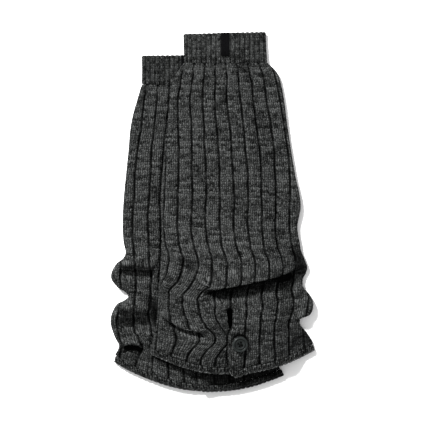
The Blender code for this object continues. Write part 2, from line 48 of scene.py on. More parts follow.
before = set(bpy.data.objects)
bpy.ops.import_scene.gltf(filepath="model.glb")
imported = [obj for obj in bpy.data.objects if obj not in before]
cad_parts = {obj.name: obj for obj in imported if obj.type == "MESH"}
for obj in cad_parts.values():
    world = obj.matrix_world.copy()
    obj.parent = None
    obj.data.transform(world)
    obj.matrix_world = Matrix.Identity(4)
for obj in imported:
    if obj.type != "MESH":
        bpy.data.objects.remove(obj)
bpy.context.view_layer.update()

MM = 0.001
BODY = "root"

# Cloth
WALL = 3.2                  # thickness of the chunky rib knit
HOLLOW = 1.4                # between the front and the back panel
SEAM_GAP = 0.3              # between a cuff and the label sewn on it
LAY_GAP = 0.4               # between the lower leg warmer and the one lying on it
EDGE_ROUND = 0.62           # how far a side edge rounds in, as a share of the height there
INSET = 5.0                 # from a side edge to the hollow inside it
INSET_EASE = 8.0            # how far in that inset dies away
EDGE_HOLD = 14.0            # how far in from a side edge a drag takes full hold

# Knitting
RIBS = 21                   # broad ribs round a body
SLIT_RIB = 5.0              # the slit runs up this groove
WALES = 3                   # columns of stitches on a broad rib
GROOVE = 0.075              # half the groove between two ribs, as a share of a rib
GROOVE_FLOOR = 0.45         # how much of that is its flat bottom
STITCH_COLUMNS = 4          # mesh columns over a stitch
STITCH_ROWS = 2             # and mesh rows
SLANT = 0.9                 # how far a stitch's legs spread along the courses, in courses
LEG_AT = 0.25               # from a stitch's middle to one of its legs, as a share of its width
LEG_FOOT = 0.3              # how high a leg stays where two stitches meet
CUFF_RIBS = 34
CUFF_GROOVE = 0.18          # and the same measures on a cuff's fine ribs
CUFF_WALES = 1
CUFF_FULLNESS = 2.0         # how square a fine rib's back is
FLECK_SEED = 5              # of the pale and dark flecks on the cuffs' ribs

# Slit and its two flaps, in millimetres from the slit's groove
FLAP_REACH = 20.0           # how much of a flap goes along with its edge
FLAP_LIFT = 3.2             # how far the right flap rises where it laps
FLAP_SINK = 4.2             # and the left one sinks under it
SINK_REACH = 15.0
FLAP_FREE = 0.35            # share of a flap's reach from which its inside lifts with it
EDGE_COURSES = (0.0, 0.25, 0.5, 1.5, 2.5, 3.0, 3.25, 3.5, 4.0, 4.5, 5.5)    # below the slit's top
LEFT_EDGE = (0.0, -3.8, -4.3, -4.9, -5.5, -4.7, -4.0, -3.3, 3.7, 8.0, 8.0)
RIGHT_EDGE = (0.0, 2.1, 2.2, 2.1, 1.7, -0.8, -2.6, -3.0, -3.2, -1.4, -1.3)
LAP_COURSES = (2.3, 3.4)    # over these the flaps come to lap
FLAP_DROP = 4.0             # how far the right flap's corner hangs below the hem's curve
FLAP_CORNER = 4.0           # how far that corner rounds up again at the slit
DROP_SECTIONS = 3           # how many sections above the hem that begins
DROP_AT = 9.0               # where the flap hangs lowest, right of the slit
CORNER_REACH = 7.0
LEFT_CORNER = 2.5           # how far the left flap's corner rounds up
LEFT_CORNER_REACH = 16.0

Section = namedtuple(
    "Section",
    "name y_left y_mid y_right x_left x_slit x_right h_left h_mid h_right rib_left rib_right",
)
Fold = namedtuple(
    "Fold",
    "name x_start y_start x_mid y_mid x_end y_end half reach lift fade_in fade_out under brow",
)
Pad = namedtuple("Pad", "name x_start y_start x_end y_end spread lift")
Drag = namedtuple("Drag", "name x y dx spread_x spread_y left_only")
Warmer = namedtuple("Warmer", "name cuff body slit_row folds pads drags label_x")

OVER_CUFF = (
    Section("rim", 212.5, 214.0, 215.0, -36.5, 15.0, 63.5, 7.8, 7.8, 7.8, 5.8, 5.8),
    Section("middle", 197.0, 196.5, 197.5, -36.0, 15.0, 64.0, 8.0, 8.0, 8.0, 5.8, 5.8),
    Section("seam", 179.3, 178.3, 180.3, -35.5, 15.0, 65.5, 8.0, 8.0, 8.0, 5.8, 5.8),
)
OVER_BODY = (
    Section("cuff seam", 179, 178, 180, -35.5, 15, 65.5, 8, 8, 8, 12.6, 13.2),
    Section("gather", 168, 167, 169.5, -42, 15.8, 75, 8.5, 9, 8.5, 13.3, 14.2),
    Section("swell", 157, 156.5, 158, -48, 16.3, 80, 9, 9.5, 9, 13.8, 14.9),
    Section("calf top", 134.5, 133.5, 134.5, -51.5, 16.5, 84.5, 9, 9.5, 9, 14.7, 16.0),
    Section("calf upper", 104, 104, 104, -55.5, 19.5, 88.5, 9, 9.5, 9, 15.3, 16.5),
    Section("calf middle", 74, 74, 74, -58, 22, 93, 9, 9.5, 9, 15.9, 17.0),
    Section("calf lower", 44, 44, 44, -60.5, 24, 98, 9, 9.5, 9, 16.4, 17.0),
    Section("calf foot", 14, 13, 9, -62.5, 25, 105, 9.5, 10, 10, 16.8, 16.8),
    Section("ease", -12, -16, -17, -61.5, 24.5, 100.5, 10, 11, 10, 17.0, 16.8),
    Section("slouch", -36, -41, -41, -61.5, 28, 104.5, 11, 14, 11, 17.2, 16.6),
    Section("brow", -52, -62, -55, -62, 34, 110, 12, 17, 12, 17.4, 16.5),
    Section("tuck", -72, -88, -68, -63, 30, 113.5, 12, 16, 12, 17.4, 16.8),
    Section("under tuck", -88, -104, -86, -64.5, 21.5, 107, 11, 14, 11, 17.3, 18.2),
    Section("roll top", -98, -111, -98, -65, 21.5, 115, 11.5, 15, 13, 17.3, 18.7),
    Section("roll", -108, -118, -110, -65.5, 21.5, 119.5, 12, 16, 15, 17.4, 18.5),
    Section("roll foot", -119, -127, -123, -66, 21, 116, 11.5, 16.5, 15, 17.4, 18.1),
    Section("neck", -128, -136, -131, -67, 21, 103.5, 11, 16, 13, 17.5, 17.6),
    Section("flare", -143, -155, -146, -69.5, 20.5, 113.5, 10, 12.5, 10.5, 17.7, 17.6),
    Section("hem seam", -162.5, -186, -158, -74, 20, 120.5, 8, 8.5, 8, 17.9, 18.0),
    Section("hem edge", -169, -194, -165, -76, 20, 123, 7.6, 8.2, 7.6, 17.9, 18.0),
)
OVER_SLIT_ROW = 13.5
OVER_FOLDS = (
    Fold("tuck", -20, -95, 44, -84, 116, -65, 20, 9.5, 9.0, 24, 38, 1.0, 0.6),
    Fold("pad lip", -62, -125, -30, -141, -2, -144, 8, 3.4, 3.8, 10, 22, 0.3, 0.0),
    Fold("neck crease", 98, -129, 106, -127, 114, -123, 5, 1.5, 2.0, 4, 2, 0.0, 0.0),
    Fold("flare crease", 90, -145, 105, -130, 122, -134, 40, 0.0, 0.8, 7, 3, 0.82, 0.0),
)
OVER_PADS = (
    Pad("diagonal ridge", -40, -57, -60, -92, 9, 4.0),
    Pad("pad", -34, -98, -14, -118, 20, 7.5),
    Pad("dimple", -36, -60, -25, -66, 5.5, -4.6),
    Pad("side hollow", 102, -53, 108, -71, 9, -4.9),
    Pad("flare hollow", 100, -148, 112, -170, 13, -1.3),
)
OVER_DRAGS = (
    Drag("pad pull", -34, -107, -6.5, 36, 23, False),
    Drag("fold pull", -30, -153, 9, 24, 14, True),
    Drag("flap pull", -8, -150, 9.5, 32, 18, True),
    Drag("lap pull", 14, -157, 6.5, 14, 14, True),
)

UNDER_CUFF = (
    Section("rim", 186.5, 187.0, 187.0, -86.5, -35, 13.5, 7.8, 7.8, 7.8, 5.8, 5.8),
    Section("middle", 171.0, 170.0, 171.0, -86.3, -35, 14.0, 8.0, 8.0, 8.0, 5.8, 5.8),
    Section("seam", 154.3, 152.3, 154.3, -86.5, -35, 14.5, 8.0, 8.0, 8.0, 5.8, 5.8),
)
UNDER_BODY = (
    Section("cuff seam", 154, 152, 154, -86.5, -26, 14.5, 8, 8, 8, 13.5, 13.0),
    Section("gather", 143, 141, 143, -89.5, -25, 24, 8.5, 8.5, 8.5, 14.2, 13.6),
    Section("calf top", 109, 107, 108, -99, -24, 34, 8.7, 8.7, 8.7, 15.5, 15.4),
    Section("calf upper", 78, 77, 77, -102, -22.5, 38.5, 8.7, 8.7, 8.7, 17.0, 16.0),
    Section("calf middle", 48, 48, 48, -105, -21, 43, 8.7, 8.7, 8.7, 18.2, 16.4),
    Section("calf lower", 18, 18, 18, -108, -21.5, 48, 8.7, 8.7, 8.7, 18.5, 16.7),
    Section("calf foot", -12, -13, -15, -109.5, -22.5, 54, 9, 9, 9, 18.7, 16.8),
    Section("ease", -34, -37, -38, -108.5, -22.5, 51, 10, 10, 10, 18.5, 16.8),
    Section("slouch", -51, -56, -60, -106, -22, 54, 12, 12, 12, 18.3, 17.0),
    Section("roll 1 top", -63, -70, -72, -117, -21.5, 58, 14, 12, 12, 18.0, 17.0),
    Section("roll 1", -78, -83, -84, -123, -21, 60, 17, 12, 12, 18.0, 17.0),
    Section("roll 1 foot", -91, -94, -94, -114, -21, 61, 15, 12, 12, 18.0, 17.0),
    Section("neck 1", -101, -106, -104, -101.5, -21, 61, 12, 12, 12, 18.2, 17.0),
    Section("roll 2 top", -111, -118, -114, -116, -21, 62, 14, 12, 12, 18.6, 17.0),
    Section("roll 2", -130, -136, -131, -123, -20, 64, 17, 12, 12, 19.0, 17.0),
    Section("roll 2 foot", -150, -156, -148, -118, -19, 66, 13, 11, 10, 19.0, 17.0),
    Section("neck 2", -161, -173, -160, -113, -18, 70, 9, 9.2, 9, 18.5, 17.0),
    Section("hem seam", -171.5, -207, -187.5, -118.5, -15, 82, 8, 8.2, 8, 19.6, 17.5),
    Section("hem edge", -179, -215, -195, -120.5, -14, 86, 7.6, 8, 7.6, 19.6, 17.5),
)
UNDER_SLIT_ROW = 13
UNDER_FOLDS = (
    Fold("upper lip", -120, -69.5, -90, -71, -58, -72, 13, 3.4, 5.6, 14, 14, 0.45, 1.0),
    Fold("valley", -122, -124.5, -90, -127, -50, -131, 19, 1.5, 6.4, 14, 8, 0.6, 0.85),
    Fold("lower lip", -113, -165, -97, -159.5, -82, -166, 10, 3.4, 4.0, 8, 8, 0.5, 0.0),
)
UNDER_PADS = (
    Pad("pad hollow", -72, -110, -68, -132, 8, -5.5),
    Pad("hem hollow", -112, -171, -84, -175, 6, -1.4),
)
UNDER_DRAGS = (
    Drag("hem pull", -90, -158, 8.5, 24, 13, False),
)

OVER = Warmer("over", OVER_CUFF, OVER_BODY, OVER_SLIT_ROW, OVER_FOLDS, OVER_PADS, OVER_DRAGS, 14.2)
UNDER = Warmer("under", UNDER_CUFF, UNDER_BODY, UNDER_SLIT_ROW, UNDER_FOLDS, UNDER_PADS,
               UNDER_DRAGS, -34.0)
PAIR = (UNDER, OVER)

TROUGH_DEPTH = 1.2          # depth of a fold's trough, in heights of its crest
CREVICE = 2.6               # how far the lower one sinks beside the upper one's left edge
CREVICE_AT = -1.2           # from that edge
CREVICE_WIDTH = 2.0
CREVICE_START = (-96.0, -74.0)    # over these y it comes to its full depth, from half of it
CREVICE_END = (60.0, 150.0)       # and over these it dies away
WAVER = 0.7                 # unevenness of the ribs' lines
SIDE_FULLNESS = 0.9         # how far the plump stitches at a side stand out past its line
BUTTON_DIMPLE = 10.4        # radius of the dimple that a sewn button pulls into the cloth, with painted shade that is darker above it

# How high the upper leg warmer lies on the lower one: its y, and the height of its underside there
REST_AT = (-215.0, -197.0, -172.0, -140.0, -72.0, -34.0, 0.0, 130.0, 156.0, 190.0)
REST_HEIGHT = (8.8, 9.0, 11.5, 14.0, 14.0, 10.4, 9.1, 9.1, 10.3, 10.3)
BEND = 6.0                  # past the lower one's right side it starts to come down
FOOT = 34.0                 # and lies on the surface
TOP_START = 190.0           # it comes down past the lower one's rim from here
TOP_SLOPE = 25.0            # within this length
MOUND = ((-14.0, -162.0), (-5.0, -186.0), 7.4, 26.0)    # its rise over the lower lap and button

# Where the lower one is pressed flat: from the upper one's side, hem and, on the cuff, by y
PRESS_SIDE = (-13.0, -3.0)
PRESS_HEM = (-10.0, -1.0)
CUFF_COVER = (128.0, 150.0)

# How far the cloth keeps the light off its own yarn, from 0 to 1: painted shade in the yarn's colour,
# which on the body also sinks the cloth
SHELTER = 0.66              # painted shadow below the upper one's hem and beside its side
FOLD_SHADE = 0.75           # in a fold as deep as can be
CREVICE_SHADE = 0.8
LINKING_SHADE = 0.75        # in the grooves where a body is linked to its cuff
LAP_SHADE = 0.75            # on the left flap beside the right one's edge
TROUGH_SHADE = (0.5, 0.36)  # place on a fold's wave that is hidden, and its width
BROW_SHADE = (-0.35, 0.4)   # and the same under its overturned brow
DIMPLE_SHADE = (0.2, 0.7)   # round a button: below it, and how much more above it
DIMPLE_WIDTH = 1.7
DIMPLE_UPPER = (-0.4, 0.7)  # where it turns from the one to the other, as a sine
HOLLOW_SHADE = (0.25, 0.09)  # in any soft hollow, and for each millimetre of its depth


# ---------------------------------------------------------------- shape of the laid cloth

def smoothstep(low, high, value):
    """0 up to low and 1 from high on, with an even ease between them."""
    share = np.clip((value - low) / (high - low), 0.0, 1.0)
    return share * share * (3.0 - 2.0 * share)


def hump(offset, width):
    """1 where the offset is 0, dying away softly within about two widths."""
    return np.exp(-(offset / width) ** 2)


def through(points, t):
    """A smooth curve through evenly numbered values, read at t."""
    points = np.asarray(points, float)
    ends = (2 * points[0] - points[1], 2 * points[-1] - points[-2])
    padded = np.concatenate(([ends[0]], points, [ends[1]]))
    index = np.clip(np.floor(t).astype(int), 0, len(points) - 2)
    f = t - index
    a, b, c, d = (padded[index + k] for k in range(4))
    bend = (2 * a - 5 * b + 4 * c - d) * f ** 2 + (3 * b - a - 3 * c + d) * f ** 3
    return 0.5 * (2 * b + (c - a) * f + bend)


def across(left, mid, right, w):
    """The curve through three values, read at w from 0 at the left to 1 at the right."""
    return left * (1 - w) * (1 - 2 * w) + mid * 4 * w * (1 - w) + right * w * (2 * w - 1)


def read(sections, t):
    """The table's columns at course t."""
    values = {key: through([getattr(row, key) for row in sections], t) for key in Section._fields[1:]}
    return Section("", **values)


def line_across(row, x):
    """How far across its row x stands, from 0 at the left to 1 at the right, and the row's y there."""
    w = (x - row.x_left) / (row.x_right - row.x_left)
    return w, across(row.y_left, row.y_mid, row.y_right, w)


def side_at(warmer, side, y):
    """Where a leg warmer's left or right side is at y."""
    rows = warmer.body[::-1] + warmer.cuff[::-1]
    heights = [getattr(row, f"y_{side}") for row in rows]
    return np.interp(y, heights, [getattr(row, f"x_{side}") for row in rows])


def above_hem(x, y):
    """How far a place lies above the upper leg warmer's hem."""
    hem = OVER.body[-1]
    return y - line_across(hem, np.clip(x, hem.x_left, hem.x_right))[1]


def swell(x, y, start, end, lift, spread):
    """A soft rise round the line from start to end."""
    run = np.subtract(end, start)
    along = ((x - start[0]) * run[0] + (y - start[1]) * run[1]) / (run @ run)
    along = np.clip(along, 0, 1)
    gap = np.hypot(x - start[0] - along * run[0], y - start[1] - along * run[1])
    return lift * hump(gap, spread)


def rest_height(x, y):
    """Height of the upper leg warmer's underside over the point x, y."""
    side = side_at(UNDER, "right", y)
    lying = np.interp(y, REST_AT, REST_HEIGHT) + swell(x, y, *MOUND)
    lying = lying * (1 - smoothstep(side + BEND, side + FOOT, x))
    return lying * (1 - smoothstep(TOP_START, TOP_START + TOP_SLOPE, y))


def rest(warmer, x, y):
    """Height of a leg warmer's underside: the lower one lies on the surface itself."""
    return rest_height(x, y) if warmer is OVER else np.zeros_like(x)


def cover(x, y):
    """1 where the upper leg warmer lies on the lower one, 0 where the lower one is free."""
    covered = smoothstep(*PRESS_SIDE, x - side_at(OVER, "left", y))
    return covered * smoothstep(*PRESS_HEM, above_hem(x, y)) * (1 - smoothstep(*CUFF_COVER, y))


def pad_lift(pads, x, y):
    """The sum of the soft pads and dimples at x, y."""
    total = np.zeros_like(x)
    for pad in pads:
        ends = (pad.x_start, pad.y_start), (pad.x_end, pad.y_end)
        total = total + swell(x, y, *ends, pad.lift, pad.spread)
    return total


def pull_aside(warmer, t, u, x, y, hold):
    """x after the drags and the ribs' own unevenness."""
    left = u > SLIT_RIB + RIBS / 2
    for drag in warmer.drags:
        pull = np.exp(-((x - drag.x) / drag.spread_x) ** 2 - ((y - drag.y) / drag.spread_y) ** 2)
        x = x + drag.dx * pull * hold * (left | (not drag.left_only))
    return x + WAVER * waver(t, u) * hold


def fold_phase(fold, x, y):
    """Where x, y is on a fold's wave, -1 above it to 1 below, and how full the fold is there."""
    w = (x - fold.x_start) / (fold.x_end - fold.x_start)
    mid = (fold.x_mid - fold.x_start) / (fold.x_end - fold.x_start)
    drop = fold.y_end - fold.y_start
    bow = (fold.y_mid - fold.y_start - mid * drop) / (mid * (1 - mid))
    line = fold.y_start + w * drop + bow * w * (1 - w)
    fade = smoothstep(fold.x_start, fold.x_start + fold.fade_in, x)
    fade = fade * (1 - smoothstep(fold.x_end - fold.fade_out, fold.x_end, x))
    return np.clip((line - y) / fold.half, -1, 1), fade


def tucked_in(warmer, t, u):
    """How deep a place is in a fold, from 0 to 1: the yarn there is hidden from the light."""
    row = read(warmer.body, t)
    x, share, front = spread_ribs(row, u, RIBS)
    y = line_across(row, x)[1]
    x = pull_aside(warmer, t, u, x, y, share)
    deepest = np.zeros_like(x)
    for fold in warmer.folds:
        phase, fade = fold_phase(fold, x, y)
        trough = fold.under * hump(phase - TROUGH_SHADE[0], TROUGH_SHADE[1])
        lean = phase - fold.reach / fold.half * np.sin(np.pi * phase)
        brow = fold.brow * hump(lean - BROW_SHADE[0], BROW_SHADE[1])
        deepest = np.maximum(deepest, np.maximum(trough, brow) * fade * front)
    return deepest


def fold_over(folds, x, y, z, share):
    """Overturning waves: the crest above each fold's line leans down over the trough below it."""
    for fold in folds:
        phase, fade = fold_phase(fold, x, y)
        wave = np.sin(np.pi * phase) * fade * share
        y = y + fold.reach * wave
        z = z - fold.lift * wave * np.where(wave > 0, TROUGH_DEPTH, 1.0)
    return y, z


def slit_shift(warmer, t):
    """How far the left and the right flap's edge stand from the slit's groove, and how much they lap."""
    along = t - warmer.slit_row
    left = np.interp(along, EDGE_COURSES, LEFT_EDGE)
    right = np.interp(along, EDGE_COURSES, RIGHT_EDGE)
    return left, right, smoothstep(*LAP_COURSES, along)


def flap_at(warmer, row, t, u, x, ribs):
    """On the left flap or not, how near the slit x is, how far the flap is pulled, and its lap."""
    left, right, lapped = slit_shift(warmer, t)
    on_left = u >= SLIT_RIB + ribs / 2
    near = 1 - smoothstep(0, FLAP_REACH, np.abs(x - row.x_slit))
    return on_left, near, np.where(on_left, left, right), lapped


def hem_drop(warmer, t, across_slit):
    """How far the flaps' corners stand off the hem's curve, that many millimetres right of the slit."""
    last = len(warmer.body) - 2
    near_hem = smoothstep(last - DROP_SECTIONS, last, t) * (warmer is OVER)
    right = FLAP_CORNER * (1 - smoothstep(0, CORNER_REACH, across_slit))
    right = right - FLAP_DROP * hump(across_slit - DROP_AT, DROP_AT)
    left = LEFT_CORNER * (1 - smoothstep(0, LEFT_CORNER_REACH, -across_slit))
    return near_hem * np.where(across_slit > 0, right, left)


def crevice(x, y):
    """1 along the upper leg warmer's left edge, where the lower one's cloth sinks and is painted in
    shade.
    """
    fade = (0.5 + 0.5 * smoothstep(*CREVICE_START, y)) * (1 - smoothstep(*CREVICE_END, y))
    return hump(x - side_at(OVER, "left", y) - CREVICE_AT, CREVICE_WIDTH) * fade


# The upper one's shade on the lower one: soft below its hem, dark in a line close under the hem
SOFT_REACH = (30.0, 25.0)   # how far below the hem it goes at the left, and how much further right
SOFT_WIDENS = (-10.0, 60.0)       # over these x
SOFT_END = -6.0             # it is full from here up to the hem
SOFT_START = (-70.0, 20.0)        # over these x it sets in
LINE_STRENGTH = (1.25, 0.4)  # at the left, and how much less further on
LINE_EASE = (-56.0, -40.0)        # over these x
LINE_START = (-80.0, -70.0)
LINE_PLACE = (-2.5, 2.0)    # from the hem, and its width
ROLL_SHADE = 0.43           # on the calf above the lower one's rolls, which lies lower than they do
ROLL_SHADE_START = (-62.0, -48.0)


def sheltered(x, y):
    """How far the lower leg warmer lies in the upper one's shadow, from 0 to 1, painted as shade."""
    above = above_hem(x, y)
    reach = SOFT_REACH[0] + SOFT_REACH[1] * smoothstep(*SOFT_WIDENS, x)
    soft = smoothstep(-reach, SOFT_END, above) * smoothstep(*SOFT_START, x)
    soft = np.maximum(soft, ROLL_SHADE * smoothstep(*ROLL_SHADE_START, y))
    line = LINE_STRENGTH[0] - LINE_STRENGTH[1] * smoothstep(*LINE_EASE, x)
    line = smoothstep(*LINE_START, x) * line * hump(above - LINE_PLACE[0], LINE_PLACE[1])
    return np.maximum(soft, line)


WAVES = ((0.5, 2.3, 2.1), (0.3, 4.9, -1.3), (0.2, 9.1, 3.7))    # height, turn by course, turn by rib


def waver(t, u):
    """A hand-made unevenness of the ribs, from -1 to 1."""
    return sum(height * np.sin(by_course * t + by_rib * u) for height, by_course, by_rib in WAVES)


def spread_ribs(row, u, ribs):
    """Where rib number u lies on the flattened tube: x, share of the height's rise, on the front or not.

    Ribs keep the front's pitch as far as the side edges, and share out the back between them.
    """
    sides = [(EDGE_ROUND * height, height / 2) for height in (row.h_left, row.h_right)]
    radius_left, radius_right = [radius for radius, _ in sides]
    arc_left, arc_right = [np.pi / 2 * np.sqrt((radius ** 2 + rise ** 2) / 2) for radius, rise in sides]
    right = SLIT_RIB + (row.x_right - radius_right + arc_right - row.x_slit) / row.rib_right
    left = SLIT_RIB + ribs - (row.x_slit - row.x_left - radius_left + arc_left) / row.rib_left
    back_length = row.x_right - row.x_left - radius_left - radius_right + arc_left + arc_right
    back_pitch = back_length / (left - right)
    front = (u <= right) | (u >= left)
    from_right = np.where(u <= right, (right - u) * row.rib_right, (u - right) * back_pitch)
    from_left = np.where(u >= left, (u - left) * row.rib_left, (left - u) * back_pitch)
    near_right = np.where(front, u <= right, from_right < from_left)
    run = np.where(near_right, from_right, from_left)
    arc = np.where(near_right, arc_right, arc_left)
    radius = np.where(near_right, radius_right, radius_left)
    angle = np.clip(run / arc, 0, 1) * np.pi / 2
    inward = radius * (1 - np.cos(angle)) + np.maximum(run - arc, 0)
    x = np.where(near_right, row.x_right - inward, row.x_left + inward)
    return x, np.sin(angle), front


def outer_face(warmer, sections, t, u, ribs=RIBS):
    """Outer points of the tube at course t and rib number u, before the knitting's own relief."""
    row = read(sections, t)
    flat_x, share, front = spread_ribs(row, u, ribs)
    w, flat_y = line_across(row, flat_x)
    height = across(row.h_left, row.h_mid, row.h_right, w)
    x, y, top = flat_x, flat_y, height
    covered = cover(x, y) * front if warmer is UNDER else np.zeros_like(x)
    if sections is warmer.body:
        edge = np.minimum(w, 1 - w) * (row.x_right - row.x_left)
        x = pull_aside(warmer, t, u, x, y, share * smoothstep(0, EDGE_HOLD, edge))
        top = top + pad_lift(warmer.pads, x, y)
        top = top + (np.interp(y, REST_AT, REST_HEIGHT) - LAY_GAP - top) * covered
        if warmer is UNDER:
            top = top - CREVICE * crevice(x, y)
    z = height / 2 + (top - height / 2) * share
    if sections is warmer.body:
        y, z = fold_over(warmer.folds, x, y, z, share * (1 - covered))
        on_left, near, pull, lapped = flap_at(warmer, row, t, u, flat_x, ribs)
        x = x + pull * near
        y = y + hem_drop(warmer, t, flat_x - row.x_slit)
        sunk = 1 - smoothstep(0, SINK_REACH, np.abs(flat_x - row.x_slit))
        z = z + np.where(on_left, -FLAP_SINK * sunk, FLAP_LIFT * near) * lapped
    x = np.where(front, x, flat_x)
    y = np.where(front, y, flat_y)
    z = np.where(front, z, height / 2 * (1 - share))
    return settle(warmer, x, y, z)


def inner_face(warmer, sections, t, u, ribs=RIBS):
    """The hollow's points: the flattened tube's inside, a wall's thickness in from its outside."""
    row = read(sections, t)
    flat_x, _, front = spread_ribs(row, u, ribs)
    from_left = flat_x - row.x_left
    from_right = row.x_right - row.x_left - from_left
    x = flat_x + INSET * (np.exp(-from_left / INSET_EASE) - np.exp(-from_right / INSET_EASE))
    y = line_across(row, x)[1]
    edge = np.minimum(x - row.x_left, row.x_right - x) - INSET
    share = quarter_round(edge / HOLLOW)
    z = WALL + HOLLOW / 2 * (1 + share * np.where(front, 1, -1))
    if sections is warmer.body:
        on_left, near, pull, lapped = flap_at(warmer, row, t, u, x, ribs)
        near = near * front
        outer = outer_face(warmer, sections, t, u, ribs)
        flap = outer[..., 2] - rest(warmer, outer[..., 0], outer[..., 1]) - WALL
        lifted = smoothstep(0, FLAP_FREE, near) * lapped * (1 - on_left)
        x = pull_aside(warmer, t, u, x, y, share * front)
        x = x + pull * near
        y = y + hem_drop(warmer, t, flat_x - row.x_slit) * front
        z = z + (np.maximum(flap, z) - z) * lifted
    return settle(warmer, x, y, z)


def quarter_round(share):
    """The height of a quarter circle, from 0 at its foot to 1 once share is 1 or more."""
    return np.sqrt(np.clip(1 - (1 - np.clip(share, 0, 1)) ** 2, 0, 1))


def settle(warmer, x, y, z):
    """Points lifted on to what the leg warmer lies on."""
    return np.stack((x, y, z + rest(warmer, x, y)), axis=-1)


# ---------------------------------------------------------------- knitting

def rib_columns(groove, wales):
    """Mesh columns over one rib: its groove's bottom, then the columns of its stitches."""
    count = wales * STITCH_COLUMNS
    back = groove + (1 - 2 * groove) * np.arange(count + 1) / count
    return np.concatenate(([0.0, groove * GROOVE_FLOOR], back, [1 - groove * GROOVE_FLOOR]))


def stitch_columns(u, groove, wales):
    """Rib numbers turned into stitch columns, counted so that a whole number starts each column."""
    p = u % 1
    knots = (0.0, groove, 1 - groove, 1.0)
    return np.floor(u) * (wales + 1) + np.interp(p, knots, (0.0, 0.5, wales + 0.5, wales + 1)) + 0.5


def rib_shape(u, fullness, floor=0.0):
    """Rise of a rib from 0 in its groove to 1 on its back; floor is half the groove's flat bottom."""
    off = np.clip(np.abs(2 * (u % 1) - 1) / (1 - 2 * floor), 0, 1)
    return np.sqrt(1 - off ** fullness)


def stitch_shape(column, course):
    """Rise of a knit stitch: two legs that lean apart, from 0 between stitches to 1 on a leg."""
    leg = np.abs(column % 1 - 0.5)
    over_leg = 1 - ((leg - LEG_AT) / LEG_AT) ** 2
    along = np.sin(np.pi * ((course + SLANT * leg) % 1))
    return over_leg * (LEG_FOOT + (1 - LEG_FOOT) * along)


def outward(points):
    """Unit normals of a grid of points whose rows run down the tube and columns to the right."""
    down = np.gradient(points, axis=0)
    over = np.gradient(points, axis=1)
    normal = np.cross(down, over)
    return normal / np.maximum(np.linalg.norm(normal, axis=-1, keepdims=True), 1e-9)


MEASURED_RIBS = (-2.5, -1.0, 1.0, 2.5, 4.0)    # from the slit: a tube's length is measured along them
MEASURED_STEPS = 60         # to a section
END_ROOM = 0.1              # courses between a tube's end and the first row of its mesh


def course_rows(warmer, sections, end, ribs, courses_mm):
    """Table positions of the mesh's rows and the course number of each."""
    t = np.linspace(0, end, MEASURED_STEPS * int(np.ceil(end)) + 1)
    u = SLIT_RIB + np.array(MEASURED_RIBS) % ribs
    paths = outer_face(warmer, sections, t[:, None], u[None, :] * np.ones((len(t), 1)), ribs)
    steps = np.linalg.norm(np.diff(paths, axis=0), axis=-1).mean(axis=1)
    length = np.concatenate(([0.0], np.cumsum(steps)))
    count = round(length[-1] / courses_mm)
    first = (0.5 - SLANT / 4) % (1 / STITCH_ROWS)
    course = np.arange(first, count, 1 / STITCH_ROWS)
    course = course[(course > END_ROOM) & (course < count - END_ROOM)]
    course = np.concatenate(([0.0], course, [count]))
    return np.interp(course * length[-1] / count, length, t), course


def knitted_face(warmer, sections, end, ribs, groove, wales, knit):
    """A knitted tube's grid: course and rib numbers, places in the knitting, and smooth outer points."""
    t, course = course_rows(warmer, sections, end, ribs, knit.course / MM)
    columns = (np.arange(ribs)[:, None] + rib_columns(groove, wales)[None, :]).ravel()
    u = SLIT_RIB + np.append(columns, ribs)
    t_grid, u_grid = np.meshgrid(t, u, indexing="ij")
    stitch = stitch_columns(u_grid, groove, wales)
    places = np.stack((stitch, course[:, None] + np.zeros_like(u_grid)), axis=-1)
    return t_grid, u_grid, places, outer_face(warmer, sections, t_grid, u_grid, ribs)


